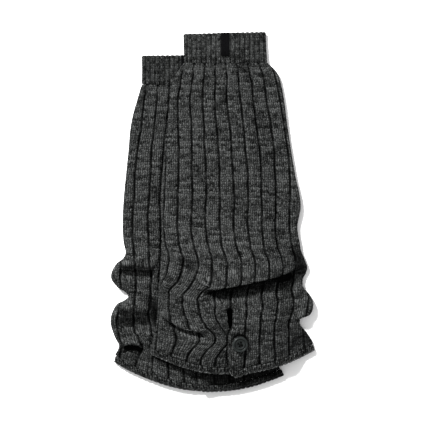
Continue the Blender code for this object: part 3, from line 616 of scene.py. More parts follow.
class Shell:
    """Points, faces and knitting coordinates of one piece, gathered grid by grid."""

    def __init__(self):
        self.points = []
        self.faces = []
        self.coordinates = []
        self.depths = []
        self.count = 0

    def add(self, points, depth):
        """Adds a grid of points with their depth values, which carry painted shade and light, and gives
        their numbers.
        """
        numbers = self.count + np.arange(points.shape[0] * points.shape[1]).reshape(points.shape[:2])
        self.points.append(points.reshape(-1, 3))
        self.depths.append(np.broadcast_to(depth, points.shape[:2]).ravel())
        self.count += numbers.size
        return numbers

    def net(self, numbers, coordinates, flip=False):
        """Quads over a grid of point numbers."""
        corners = ((0, 0), (1, 0), (1, 1), (0, 1))
        if flip:
            corners = corners[::-1]
        rows, columns = numbers.shape[0] - 1, numbers.shape[1] - 1
        quads = [numbers[i:i + rows, j:j + columns] for i, j in corners]
        places = [coordinates[i:i + rows, j:j + columns] for i, j in corners]
        self.faces += np.stack(quads, axis=-1).reshape(-1, 4).tolist()
        self.coordinates.append(np.stack(places, axis=-2).reshape(-1, 2))

    def fill(self, fine, coarse, stops, place, flip=False):
        """Triangles between a fine line of points and a coarse one, whose points stand at stops."""
        for k, (start, end) in enumerate(zip(stops, stops[1:])):
            middle = (start + end) // 2
            fans = [(fine[i], fine[i + 1], coarse[k]) for i in range(start, middle)]
            fans.append((fine[middle], coarse[k + 1], coarse[k]))
            fans += [(fine[i], fine[i + 1], coarse[k + 1]) for i in range(middle, end)]
            for fan in fans:
                if len(set(fan)) == 3:
                    self.faces.append(fan[::-1] if flip else fan)
                    self.coordinates.append(np.tile(place, (3, 1)))

    def tube(self, outer, inner, depth, places, stops, closed):
        """A tube's outside and its coarser inside, joined at both ends and closed round as far down."""
        out = self.add(outer, depth)
        into = self.add(inner, 1.0)
        for numbers, rows in zip((out, into), closed):
            numbers[:rows, -1] = numbers[:rows, 0]
        self.net(out, places)
        self.net(into, places[np.ix_(*stops)], flip=True)
        self.fill(out[0], into[0], stops[1], places[0, 0])
        self.fill(out[-1], into[-1], stops[1], places[-1, 0], flip=True)
        return out, into

    def cap(self, ring):
        """One face over the end of a cord."""
        self.faces.append(ring.tolist())
        self.coordinates.append(np.zeros((len(ring), 2)))

    def piece(self, name, material):
        """A new object from what was gathered, without the points that merged columns left over."""
        corners = np.concatenate([np.ravel(face) for face in self.faces])
        used, numbers = np.unique(corners, return_inverse=True)
        ends = np.cumsum([len(face) for face in self.faces])
        faces = [part.tolist() for part in np.split(numbers, ends[:-1])]
        points = np.concatenate(self.points)[used] * MM
        depths = np.concatenate(self.depths)[used]
        mesh = bpy.data.meshes.new(name)
        mesh.from_pydata(points.tolist(), [], faces)
        knitting = mesh.uv_layers.new(name="knitting")
        knitting.data.foreach_set("uv", np.concatenate(self.coordinates).ravel())
        # The depth attribute carries painted shade, painted light where it is below 0, and the cuffs'
        # flecks into the yarn's colour
        depth = mesh.attributes.new("depth", "FLOAT", "POINT")
        depth.data.foreach_set("value", depths)
        mesh.shade_smooth()
        mesh.materials.append(material)
        return place_object(name, mesh)


def place_object(name, mesh):
    """A new object of the scene."""
    piece = bpy.data.objects.new(name, mesh)
    bpy.context.scene.collection.objects.link(piece)
    return piece


def mesh_of(shape, name):
    """A mesh made of the working shape, which is used up."""
    mesh = bpy.data.meshes.new(name)
    shape.to_mesh(mesh)
    shape.free()
    return mesh


def finish_piece(piece, slot, *nodes):
    """The piece rides with the pair and stands for its frame nodes, which it hides."""
    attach(piece, BODY)
    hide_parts(*nodes)
    return piece


def coarse_stops(count, step, *fixed):
    """Indices a step apart, with the ends and the fixed ones among them."""
    marks = sorted({0, count - 1, *fixed})
    stops = []
    for start, end in zip(marks, marks[1:]):
        pieces = max(1, round((end - start) / step))
        stops += [start + (end - start) * k // pieces for k in range(pieces)]
    return stops + [marks[-1]]


SELVEDGE = (1.5, 0.5, 0.8)  # courses in which it sets in, its width in ribs, and how flat it lies
GATHERS = (1.5, 0.6)        # courses below the cuff in which the grooves deepen, from this share of them
GROOVE_SINK_AND_SHADE = (0.82, 0.25)  # a groove's depth and painted shade, and how much they vary along and between the ribs
GROOVE_UNEVEN_TURNS = (1.7, 5.1)     # how fast they vary, by course and by rib
GROOVE_SHADE = 2.2          # how much squarer than a rib's back the lit part of it is
LINKING = (0.15, 0.08, 0.22)      # half width in ribs; course and half height
LAP_LINE = (-0.6, 1.5)      # from the right flap's edge, and its width
FLAP_LINING = (3, 0.4)      # ribs beside the slit that keep clear of the hollow, and by how much
SEAM_EASE = 0.5             # courses in which the sides come to stand full
BODY_STEPS = (6, 7)         # rows and columns of the outside for one of the inside


def body_shade(warmer, smooth, t, u):
    """How far the laid cloth keeps the light off its own yarn, from 0 to 1: painted shade, which also
    sinks the cloth.
    """
    x, y, z = np.moveaxis(smooth, -1, 0)
    shades = [FOLD_SHADE * tucked_in(warmer, t, u)]
    if warmer is UNDER:
        shades.append(CREVICE_SHADE * (crevice(x, y) * (z > WALL)))
        shades.append(SHELTER * sheltered(x, y))

    # Painted shade in the dimple round the button, darker above it; it sinks the cloth too
    middle = np.array(button_place(f"{warmer.name}_button")[0]) / MM
    from_button = np.hypot(x - middle[0], y - middle[1])
    above = smoothstep(*DIMPLE_UPPER, (y - middle[1]) / from_button)
    pulled = hump(from_button - BUTTON_DIMPLE, DIMPLE_WIDTH)
    pulled = pulled * (DIMPLE_SHADE[0] + DIMPLE_SHADE[1] * above)
    shades.append(pulled * (z > middle[2] - 2 * WALL))

    half_width, course, half_height = LINKING
    from_groove = 0.5 - np.abs(u % 1 - 0.5)
    linked = np.exp(-(from_groove / half_width) ** 2 - ((t - course) / half_height) ** 2)
    shades.append(LINKING_SHADE * linked)

    hollow = -np.minimum(pad_lift(warmer.pads, x, y), 0)
    hollow = HOLLOW_SHADE[0] * smoothstep(0, 1, hollow) + HOLLOW_SHADE[1] * hollow
    shades.append(hollow * (z > WALL))

    right, lapped = slit_shift(warmer, t)[1:]
    lap_edge = read(warmer.body, t).x_slit + right
    beside = hump(x - lap_edge - LAP_LINE[0], LAP_LINE[1]) * lapped
    shades.append(LAP_SHADE * beside * (u > SLIT_RIB + RIBS / 2))
    return np.maximum.reduce(shades)


def knit_body(warmer, knit, material):
    """A broad-ribbed tube with its folds, split up the front from the hem."""
    last = len(warmer.body) - 2.0
    t, u, places, smooth = knitted_face(warmer, warmer.body, last, RIBS, GROOVE, WALES, knit)
    rise = rib_shape(u, knit.rib_fullness, GROOVE * GROOVE_FLOOR)
    hidden = 1 - rib_shape(u, GROOVE_SHADE * knit.rib_fullness, GROOVE * GROOVE_FLOOR)
    edge = np.minimum(u - SLIT_RIB, SLIT_RIB + RIBS - u)
    selvedge = smoothstep(0, SELVEDGE[0], t - warmer.slit_row) * (edge < SELVEDGE[1])
    uneven_grooves = GROOVE_SINK_AND_SHADE[0] + GROOVE_SINK_AND_SHADE[1] * waver(GROOVE_UNEVEN_TURNS[0] * t, np.round(u) * GROOVE_UNEVEN_TURNS[1])
    gathered = GATHERS[1] + (1 - GATHERS[1]) * smoothstep(0, GATHERS[0], t)
    # How deep the grooves sink, which also sets how dark their painted shade is
    groove_depth_and_shade = (1 - SELVEDGE[2] * selvedge) * uneven_grooves * gathered
    shade = body_shade(warmer, smooth, t, u)
    stitches = stitch_shape(places[..., 0], places[..., 1]) * rise
    sink = knit.rib_depth / MM * np.maximum((1 - rise) * groove_depth_and_shade, shade)
    sink = sink + knit.stitch_depth / MM * (1 - stitches)
    normal = outward(smooth)
    outer = smooth - normal * sink[..., None]
    clear_of_seams = smoothstep(0, SEAM_EASE, t) * (1 - smoothstep(last - SEAM_EASE, last, t))
    outer[..., 0] += SIDE_FULLNESS * normal[..., 0] * clear_of_seams
    floor = rest(warmer, outer[..., 0], outer[..., 1])
    front = smooth[..., 2] > floor + WALL
    floor = floor + np.where(front & (edge < FLAP_LINING[0]), WALL + HOLLOW + FLAP_LINING[1], 0)
    outer[..., 2] = np.maximum(outer[..., 2], floor)

    shell = Shell()
    split = int(np.argmin(np.abs(t[:, 0] - warmer.slit_row)))
    row_stops = coarse_stops(t.shape[0], BODY_STEPS[0], split)
    column_stops = coarse_stops(t.shape[1], BODY_STEPS[1])
    coarse = np.ix_(row_stops, column_stops)
    inner = inner_face(warmer, warmer.body, t[coarse], u[coarse])
    closed = row_stops.index(split)
    # The depth attribute: painted shade in the grooves and wherever the cloth keeps the light off
    depth = np.maximum(hidden * groove_depth_and_shade, shade)
    stops = row_stops, column_stops
    out, into = shell.tube(outer, inner, depth, places, stops, (split + 1, closed + 1))
    below = [stop - split for stop in row_stops[closed:]]
    shell.fill(out[split:, 0], into[closed:, 0], below, places[-1, 0], flip=True)
    shell.fill(out[split:, -1], into[closed:, -1], below, places[-1, 0])
    return shell.piece(f"{warmer.name}_body_knit", material)


RIM_ANGLES = (150, 120, 90, 60, 30)    # rows over the rim, from the inside out
RIM_SCALLOP = (0.55, 0.75)  # height of the rim in a groove, and how much more on a rib's back
RIM_GROOVE_SHADE = 0.3             # painted shade of the grooves over the rim
SEAM_DEPTH = (0.25, 0.5)    # courses above the seam in which the grooves deepen, and by how much
CUFF_SHADE = 0.33           # of the fine rib as a whole, since its yarn is pulled tight
CUFF_GROOVE_SHADE = (0.2, 0.6)    # of its grooves, and how much more of it at the seam
FLECKS = (0.2, 1.6)         # strength in a groove, and how much less, past none, on a rib's back
UNDER_CUFF_SHADE = 0.03     # how much darker the lower one's cuff is
CUFF_STEPS = (4, 3)         # rows and columns of the outside for one of the inside


def knit_cuff(warmer, knit, material):
    """A fine-ribbed tube with a rounded, scalloped rim."""
    sections, last = warmer.cuff, len(warmer.cuff) - 1.0
    face = knitted_face(warmer, sections, last, CUFF_RIBS, CUFF_GROOVE, CUFF_WALES, knit)
    t, u, places, smooth = face
    rise = rib_shape(u, CUFF_FULLNESS)
    stitches = stitch_shape(places[..., 0], places[..., 1]) * rise
    end = smoothstep(last - SEAM_DEPTH[0], last, t)
    sink = knit.cuff_depth / MM * (1 - rise) * (1 + SEAM_DEPTH[1] * end)
    sink = sink + knit.stitch_depth / MM * (1 - stitches)
    outer = smooth - outward(smooth) * sink[..., None]
    inner = inner_face(warmer, sections, t, u, CUFF_RIBS)

    up = smooth[:1] - smooth[1:2]
    up = up / np.linalg.norm(up, axis=-1, keepdims=True)
    middle = (outer[:1] + inner[:1]) / 2
    half = (outer[:1] - inner[:1]) / 2
    scallop = (WALL / 2 * (RIM_SCALLOP[0] + RIM_SCALLOP[1] * rise[:1]))[..., None]
    angles = np.radians(RIM_ANGLES)
    rim = [middle + half * np.cos(angle) + up * scallop * np.sin(angle) for angle in angles]
    rows, columns = t.shape
    flecks = np.random.default_rng(FLECK_SEED).uniform(-1, 1, (rows // 2 + 1, CUFF_RIBS + 1))
    flecks = flecks[np.arange(rows) // 2][:, np.arange(columns) * CUFF_RIBS // (columns - 1)]
    # The depth attribute: painted shade of the fine rib and its grooves, and random pale and dark flecks
    depth = CUFF_SHADE + UNDER_CUFF_SHADE * (warmer is UNDER)
    depth = depth + CUFF_GROOVE_SHADE[0] * (1 - rise) * (1 + CUFF_GROOVE_SHADE[1] * end)
    depth = depth + FLECKS[0] * flecks * (1 - FLECKS[1] * rise)
    depth = np.concatenate([RIM_GROOVE_SHADE * (1 - rise[:1])] * len(rim) + [depth])
    rim_places = places[:1] * (1, 0) - (0, 0.5)
    places = np.concatenate([rim_places] * len(rim) + [places])

    stops = coarse_stops(rows, CUFF_STEPS[0]), coarse_stops(columns, CUFF_STEPS[1])
    shell = Shell()
    shell.tube(np.concatenate(rim + [outer]), inner[np.ix_(*stops)], depth, places, stops, (None, None))
    return shell.piece(f"{warmer.name}_cuff_knit", material)


LOOPS = 70                  # round a hem
LOOP_COLUMNS = 12
LOOP_HOLE = (0.19, 0.52, 0.22)     # half width in loops, place across the edging, half height
LOOP_GAP = (0.16, 0.5, 0.65)       # between two loops: half width, and where across it closes
LOOP_SEAM = (0.75, 0.7, 0.07)      # between loops and chain: depth, place across, half height
CHAIN_NOTCH = (0.6, 0.09, 0.4)     # depth, half width in loops, and slant
CHAIN_START = (0.62, 0.8)
EDGING_THICK = 2.2          # half the edging's thickness
EDGING_SQUARE = (14, 3.5)   # how square its section is on the body's side and on the hem's
EDGING_COURSES = (0.02, 0.5, 1.0)  # below the hem's seam that it is laid along
EDGING_TAPER = (0.6, 0.95)  # loops in which its ends taper, and how far they do
RIM = 0.8                   # how far its chain stands out past the hem
RIM_START = (0.5, 0.9)
SCALLOP = 1.0               # how far the rim draws in between two loops
CHAIN_LIT_SPAN = ((0.74, 0.8), (0.97, 1.0))    # across the edging, where its chain gets a painted highlight
# Strength of the chain's painted highlight
CHAIN_LIGHT = 0.5
CHAIN_COLUMN = 5            # how many columns further on in the marl its chain is
LOOP_SHADE = 0.9
EDGING_PROFILE = (-1.0, -0.98, -0.9, -0.75, -0.6, -0.45, -0.3, -0.15, 0.0, 0.15, 0.3, 0.45, 0.6, 0.75,
                  0.86, 0.94, 0.98, 1.0)


def loop_shape(lie, loops):
    """Rise of the edging's stitches, 1 but for the holes of its loops and the notches of its chain."""
    off = np.abs(loops % 1 - 0.5)
    width, place, height = LOOP_HOLE
    hole = np.exp(-(off / width) ** 2 - ((lie - place) / height) ** 2)
    between = hump(0.5 - off, LOOP_GAP[0]) * (1 - smoothstep(*LOOP_GAP[1:], lie))
    seam = LOOP_SEAM[0] * hump(lie - LOOP_SEAM[1], LOOP_SEAM[2])
    depth, width, slant = CHAIN_NOTCH
    notch = np.abs((loops + slant * lie) % 1 - 0.5)
    notch = depth * hump(notch, width) * smoothstep(*CHAIN_START, lie)
    return 1 - np.maximum(np.maximum(hole, between), np.maximum(seam, notch))


def knit_edging(warmer, knit, material):
    """A linked edging: a soft cord round the hem with loops and a chain worked into it."""
    count = LOOPS * LOOP_COLUMNS
    u = SLIT_RIB + RIBS * np.arange(count + 1) / count
    seam = len(warmer.body) - 2.0
    t_grid, u_grid = np.meshgrid(seam + np.array(EDGING_COURSES), u, indexing="ij")
    outer = outer_face(warmer, warmer.body, t_grid, u_grid)
    inner = inner_face(warmer, warmer.body, t_grid, u_grid)
    middle = (outer[0] + outer[2] + inner[0] + inner[2]) / 4
    down = outer[2] - outer[0]
    half = np.linalg.norm(down, axis=-1) / 2
    down = down / (2 * half[:, None])
    normal = outward(outer)[1]
    loops = (u - SLIT_RIB) * LOOPS / RIBS
    scallop = (2 * np.abs(loops % 1 - 0.5)) ** 3
    run, tip = EDGING_TAPER
    ends = np.minimum(loops, loops[-1] - loops)
    taper = np.sqrt(1 - (tip - tip * np.clip(ends / run, 0, 1)) ** 2)
    grid, places, depths = [], [], []
    for s, face in [(s, 1) for s in EDGING_PROFILE] + [(s, -1) for s in EDGING_PROFILE[-2::-1]]:
        lie = (s + 1) / 2
        bump = loop_shape(lie, loops) if face > 0 else np.ones_like(loops)
        sink = knit.loop_depth / MM * (1 - bump)
        reach = s * half + (RIM - sink - SCALLOP * scallop) * smoothstep(*RIM_START, lie)
        thick = face * np.sqrt(1 - np.abs(s) ** EDGING_SQUARE[s >= 0]) * (EDGING_THICK - sink)
        grid.append(middle + down * (reach * taper)[:, None] + normal * (thick * taper)[:, None])
        stitch = 2 * lie + CHAIN_COLUMN * (lie > CHAIN_LIT_SPAN[0][0])
        places.append(np.stack((np.full_like(loops, stitch), 2 * loops), axis=-1))
        # Painted highlight on the chain, and painted shade in the loops' holes
        chain_highlight = smoothstep(*CHAIN_LIT_SPAN[0], lie) * (1 - smoothstep(*CHAIN_LIT_SPAN[1], lie))
        depths.append(LOOP_SHADE * (1 - bump) - CHAIN_LIGHT * chain_highlight * (face > 0))
    grid = np.stack(grid)
    # Painted shadow of the upper leg warmer on the lower one's edging
    if warmer is UNDER:
        depths = np.maximum(depths, SHELTER * sheltered(grid[..., 0], grid[..., 1]))
    grid[..., 2] = np.maximum(grid[..., 2], rest(warmer, grid[..., 0], grid[..., 1]))
    shell = Shell()
    numbers = shell.add(grid, np.asarray(depths))
    numbers[-1] = numbers[0]
    shell.net(numbers, np.stack(places), flip=True)
    shell.cap(numbers[:-1, 0])
    shell.cap(numbers[-2::-1, -1])
    return shell.piece(f"{warmer.name}_hem_edging_knit", material)


# ---------------------------------------------------------------- trims

LABEL_WIDTH = 9.4
LABEL_LENGTH = 27.0         # down the cuff's front
LABEL_THICK = 0.9
LABEL_ROUND = 0.5           # how far in its edges are rounded
LABEL_TURN = 2.4            # what hangs down inside the rim
LABEL_ANGLES = (100, 75, 50, 25)    # rows of the turn over the rim
LABEL_ROWS = 40
LABEL_COLUMNS = 24
LABEL_SAG = 0.25            # how far the tape dips between the cuff's ribs


def sew_label(warmer, material):
    """A woven tape turned over the cuff's rim and lying down its front."""
    rim, seam = warmer.cuff[0], warmer.cuff[-1]
    stop = (len(warmer.cuff) - 1) * LABEL_LENGTH / (rim.y_mid - seam.y_mid)
    t = np.linspace(0, stop, LABEL_ROWS)
    row = read(warmer.cuff, t)
    shares = np.linspace(0, 1, LABEL_COLUMNS + 1)
    x = warmer.label_x - LABEL_WIDTH / 2 + LABEL_WIDTH * shares
    u = SLIT_RIB + (x[None, :] - row.x_slit[:, None]) / row.rib_left[:, None]
    u = np.where(u < SLIT_RIB, u + CUFF_RIBS, u)
    face = outer_face(warmer, warmer.cuff, t[:, None] + np.zeros_like(u), u, CUFF_RIBS)
    face[..., 0] = x
    face[..., 2] -= LABEL_SAG * (1 - rib_shape(u, CUFF_FULLNESS))
    edge = np.minimum(shares, 1 - shares) * LABEL_WIDTH
    foot = (stop - t)[:, None] / stop * LABEL_LENGTH
    rounding = quarter_round(np.minimum(edge, foot) / LABEL_ROUND)
    lift = SEAM_GAP + LABEL_THICK / 2
    turned = [face[0] + (0, lift * np.sin(angle), lift * (np.cos(angle) - 1))
              for angle in np.radians(LABEL_ANGLES)]
    hang = turned[0] - (0, 0, LABEL_TURN)
    centre = np.concatenate(([hang], turned, face))
    rounding = np.concatenate((np.repeat(rounding[:1], len(turned) + 1, axis=0), rounding))
    normal = outward(centre)
    shell = Shell()
    places = np.stack(np.meshgrid(np.arange(len(centre)), shares, indexing="ij"), axis=-1)
    top = shell.add(centre + normal * (lift + LABEL_THICK / 2 * rounding)[..., None], 0.0)
    bottom = shell.add(centre + normal * (lift - LABEL_THICK / 2 * rounding)[..., None], 0.0)
    shell.net(top, places)
    shell.net(bottom, places, flip=True)
    for side, flip in ((np.s_[0], False), (np.s_[-1], True), (np.s_[:, 0], True), (np.s_[:, -1], False)):
        line = top[side]
        shell.fill(line, bottom[side], range(len(line)), places[0, 0], flip)
    return shell.piece(f"{warmer.name}_label_tape", material)


BUTTON_SIDES = 72
BUTTON_TURN = -20.0         # of its four holes, in degrees
BUTTON_EDGE = 40.0          # degrees from which an edge of it is sharp
HOLE_SIDES = 20
HOLE_RADIUS = 1.3
HOLE_AT = 1.75              # from the button's middle, both ways
ROD_HEIGHT = 1.3            # middle and length of the rods that drill the holes
ROD_LENGTH = 8.0
THREAD_SIDES = 8
THREAD_RADIUS = 0.5
THREAD_ROUTE = ((0.0, 0.1), (0.0, 1.2), (0.3, 1.75))    # in from a hole's middle, and height
THREAD_TOP = 1.95
BUTTON_PROFILE = (          # radius and height, from under its middle round to its front
    (0.0, 0.0), (8.5, 0.0), (9.1, 0.3), (9.3, 0.8), (9.3, 1.4), (9.1, 2.0), (8.6, 2.45), (8.0, 2.6),
    (7.5, 2.45), (7.2, 2.2), (7.0, 0.9), (6.4, 0.75), (5.8, 0.9), (5.6, 1.8), (5.2, 2.0),
    (4.7, 1.85), (4.1, 1.3), (3.4, 1.15), (0.0, 1.1),
)


def button_place(node):
    """Middle of a frame button's underside and its upward direction, read from its own points."""
    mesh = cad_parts[node].data
    points = np.array([vertex.co for vertex in mesh.vertices])
    middle = (points.min(axis=0) + points.max(axis=0)) / 2
    _, _, axes = np.linalg.svd(points - points.mean(axis=0), full_matrices=False)
    up = Vector(axes[2])
    if up.z < 0:
        up = -up
    rise = (points - middle) @ np.array(up)
    return Vector(middle) + up * float(rise.min()), up


def turn_button(warmer, button_material, thread_material):
    """A rimmed four-hole button, turned from its profile, with its sewing thread."""
    name = f"{warmer.name}_button"
    shape = bmesh.new()
    line = [shape.verts.new((radius * MM, 0, z * MM)) for radius, z in BUTTON_PROFILE]
    edges = [shape.edges.new(pair) for pair in zip(line, line[1:])]
    bmesh.ops.spin(shape, geom=line + edges, cent=(0, 0, 0), axis=(0, 0, 1), angle=2 * np.pi,
                   steps=BUTTON_SIDES, use_merge=True)
    bmesh.ops.remove_doubles(shape, verts=shape.verts, dist=0.001 * MM)
    bmesh.ops.recalc_face_normals(shape, faces=shape.faces)
    mesh = mesh_of(shape, f"{name}_turned")
    mesh.shade_smooth()
    mesh.set_sharp_from_angle(angle=np.radians(BUTTON_EDGE))
    mesh.materials.append(button_material)
    button = place_object(f"{name}_turned", mesh)
    cutter = place_object(f"{name}_cutter", hole_rods(name))
    cut = button.modifiers.new("sewing holes", "BOOLEAN")
    cut.object = cutter
    cut.solver = "EXACT"
    evaluated = button.evaluated_get(bpy.context.evaluated_depsgraph_get())
    drilled = bpy.data.meshes.new_from_object(evaluated)
    button.modifiers.clear()
    button.data = drilled
    bpy.data.objects.remove(cutter)
    foot, up = button_place(name)
    stand = Matrix.Translation(foot) @ up.to_track_quat("Z", "Y").to_matrix().to_4x4()
    stand = stand @ Matrix.Rotation(np.radians(BUTTON_TURN), 4, "Z")
    button.data.transform(stand)
    finish_piece(button, "button", name)
    thread = sew_button(name, thread_material)
    thread.data.transform(stand)
    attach(thread, BODY)


def hole_rods(name):
    """Four upright rods where the button's holes are drilled."""
    rods = bmesh.new()
    for x in (-HOLE_AT, HOLE_AT):
        for y in (-HOLE_AT, HOLE_AT):
            middle = Matrix.Translation(Vector((x, y, ROD_HEIGHT)) * MM)
            bmesh.ops.create_cone(rods, cap_ends=True, segments=HOLE_SIDES, radius1=HOLE_RADIUS * MM,
                                  radius2=HOLE_RADIUS * MM, depth=ROD_LENGTH * MM, matrix=middle)
    return mesh_of(rods, f"{name}_holes")


def sew_button(name, material):
    """Two bars of thread that cross, each from one hole to the one across and down through both."""
    shape = bmesh.new()
    reach = HOLE_AT * np.sqrt(2)
    for turn, over in ((np.pi / 4, 0.0), (-np.pi / 4, 2 * THREAD_RADIUS)):
        along = Vector((np.cos(turn), np.sin(turn), 0))
        aside = Vector((-np.sin(turn), np.cos(turn), 0))
        route = [(-reach + run, z) for run, z in THREAD_ROUTE]
        route += [(0.0, THREAD_TOP + over)] + [(-run, z) for run, z in route[::-1]]
        rings = []
        for k, (run, z) in enumerate(route):
            before, after = route[max(k - 1, 0)], route[min(k + 1, len(route) - 1)]
            heading = along * (after[0] - before[0]) + Vector((0, 0, after[1] - before[1]))
            rise = heading.normalized().cross(aside)
            middle = along * run + Vector((0, 0, z))
            ring = []
            for angle in np.linspace(0, 2 * np.pi, THREAD_SIDES, endpoint=False):
                spot = middle + THREAD_RADIUS * (aside * np.cos(angle) + rise * np.sin(angle))
                ring.append(shape.verts.new(spot * MM))
            rings.append(ring)
        for one, two in zip(rings, rings[1:]):
            for side in range(THREAD_SIDES):
                shape.faces.new((one[side], one[side - 1], two[side - 1], two[side]))
        shape.faces.new(rings[0])
        shape.faces.new(rings[-1][::-1])
    bmesh.ops.recalc_face_normals(shape, faces=shape.faces)
    mesh = mesh_of(shape, f"{name}_thread")
    mesh.shade_smooth()
    mesh.materials.append(material)
    return place_object(f"{name}_thread", mesh)


# ---------------------------------------------------------------- finishes

class Finish:
    """A material that is built up node by node."""

    def __init__(self, name):
        self.material = bpy.data.materials.new(name)
        self.material.use_nodes = True
        self.nodes = self.material.node_tree.nodes
        self.links = self.material.node_tree.links
        self.shader = self.nodes["Principled BSDF"]

    def feed(self, socket, value):
        """Gives a socket another node's output, a number or a colour."""
        if isinstance(value, bpy.types.NodeSocket):
            self.links.new(value, socket)
        else:
            socket.default_value = value

    def node(self, kind, inputs=(), **settings):
        """A new node with its settings; inputs are pairs of a socket and what it is fed."""
        made = self.nodes.new(kind)
        for key, value in settings.items():
            setattr(made, key, value)
        for socket, value in inputs:
            self.feed(made.inputs[socket], value)
        return made

    def set(self, **values):
        """Feeds the shader's sockets, named with _ for a space."""
        for key, value in values.items():
            self.feed(self.shader.inputs[key.replace("_", " ")], value)

    def math(self, operation, *values):
        return self.node("ShaderNodeMath", enumerate(values), operation=operation).outputs[0]

    def plus(self, one, two):
        return self.math("ADD", one, two)

    def less(self, one, two):
        return self.math("SUBTRACT", one, two)

    def times(self, one, two):
        return self.math("MULTIPLY", one, two)

    def place(self):
        """Where a point is on the piece, in metres."""
        return self.node("ShaderNodeTexCoord").outputs["Object"]

    def split(self, vector):
        return self.node("ShaderNodeSeparateXYZ", [(0, vector)]).outputs

    def combine(self, x=0.0, y=0.0, z=0.0):
        return self.node("ShaderNodeCombineXYZ", [(0, x), (1, y), (2, z)]).outputs[0]

    def noise(self, vector, scale, detail=2.0, roughness=0.5):
        inputs = [("Vector", vector), ("Scale", scale), ("Detail", detail), ("Roughness", roughness)]
        return self.node("ShaderNodeTexNoise", inputs).outputs["Fac"]

    def spread(self, value, low, high, to_low=0.0, to_high=1.0):
        """A value drawn out from low and high to their new ends, and held between them."""
        inputs = [("Value", value), ("From Min", low), ("From Max", high), ("To Min", to_low),
                  ("To Max", to_high)]
        return self.node("ShaderNodeMapRange", inputs).outputs[0]

    def mix(self, factor, one, two, blend="MIX"):
        inputs = [(0, factor), (6, one), (7, two)]
        return self.node("ShaderNodeMix", inputs, data_type="RGBA", blend_type=blend).outputs[2]

    def bump(self, height, distance, strength=1.0, **normal):
        inputs = [("Height", height), ("Distance", distance), ("Strength", strength)]
        return self.node("ShaderNodeBump", inputs + list(normal.items())).outputs[0]


def opaque(colour, share=1.0):
    """A colour made paler or darker by a share, with its alpha."""
    return tuple(share * part for part in colour) + (1,)


# The marl: what each of its parts adds to the yarn's tone
STREAKS = 0.5               # lengths of pale and dark yarn along a course
PLIES = 0.68                # the strands twisted in it
FIBRES = 0.26
STITCHES = 0.42             # from one stitch to the next
PATCHES = 0.3               # over several ribs and courses
PATCH_MIDDLE = 1.42
MARL_CONTRAST = 2.1
STREAK_SCALE = (0.24, 0.95)  # noise cells to a column of stitches, and to a course
PATCH_SCALE = (0.09, 0.16)
PLY_SCALE = (2.9, 2.5)
RIB_SHIFT = 5.3             # how far apart in the streaks two ribs are, so that they differ
NOISE_CORE = (0.35, 0.65)   # the part of a noise's range that is drawn out to the whole
PLY_CORE = (0.38, 0.62)
DRIFT_ASIDE = (0.9, 0.6, 0.55, 0.0)    # cells to a column and a course, reach in stitches, start
DRIFT_DOWN = (0.8, 0.7, 1.3, 40.0)
STITCH_LIGHT = (0.0, 0.7, 0.16, 1.02)  # from and to a stitch's rise, and the painted light at both
DEPTH_LIGHT = (0.25, 0.75, 1.0, 0.05)  # the same for the painted shade of what lies deep
PROUD_LIGHT = (-0.5, 0.0, 2.6, 1.0)    # and for the painted light on what stands out
FIBRE_SCALE = 900.0
FIBRE_BUMP = 0.0004
SOFTNESS = 0.6              # strength of a fine bump on yarn and tape


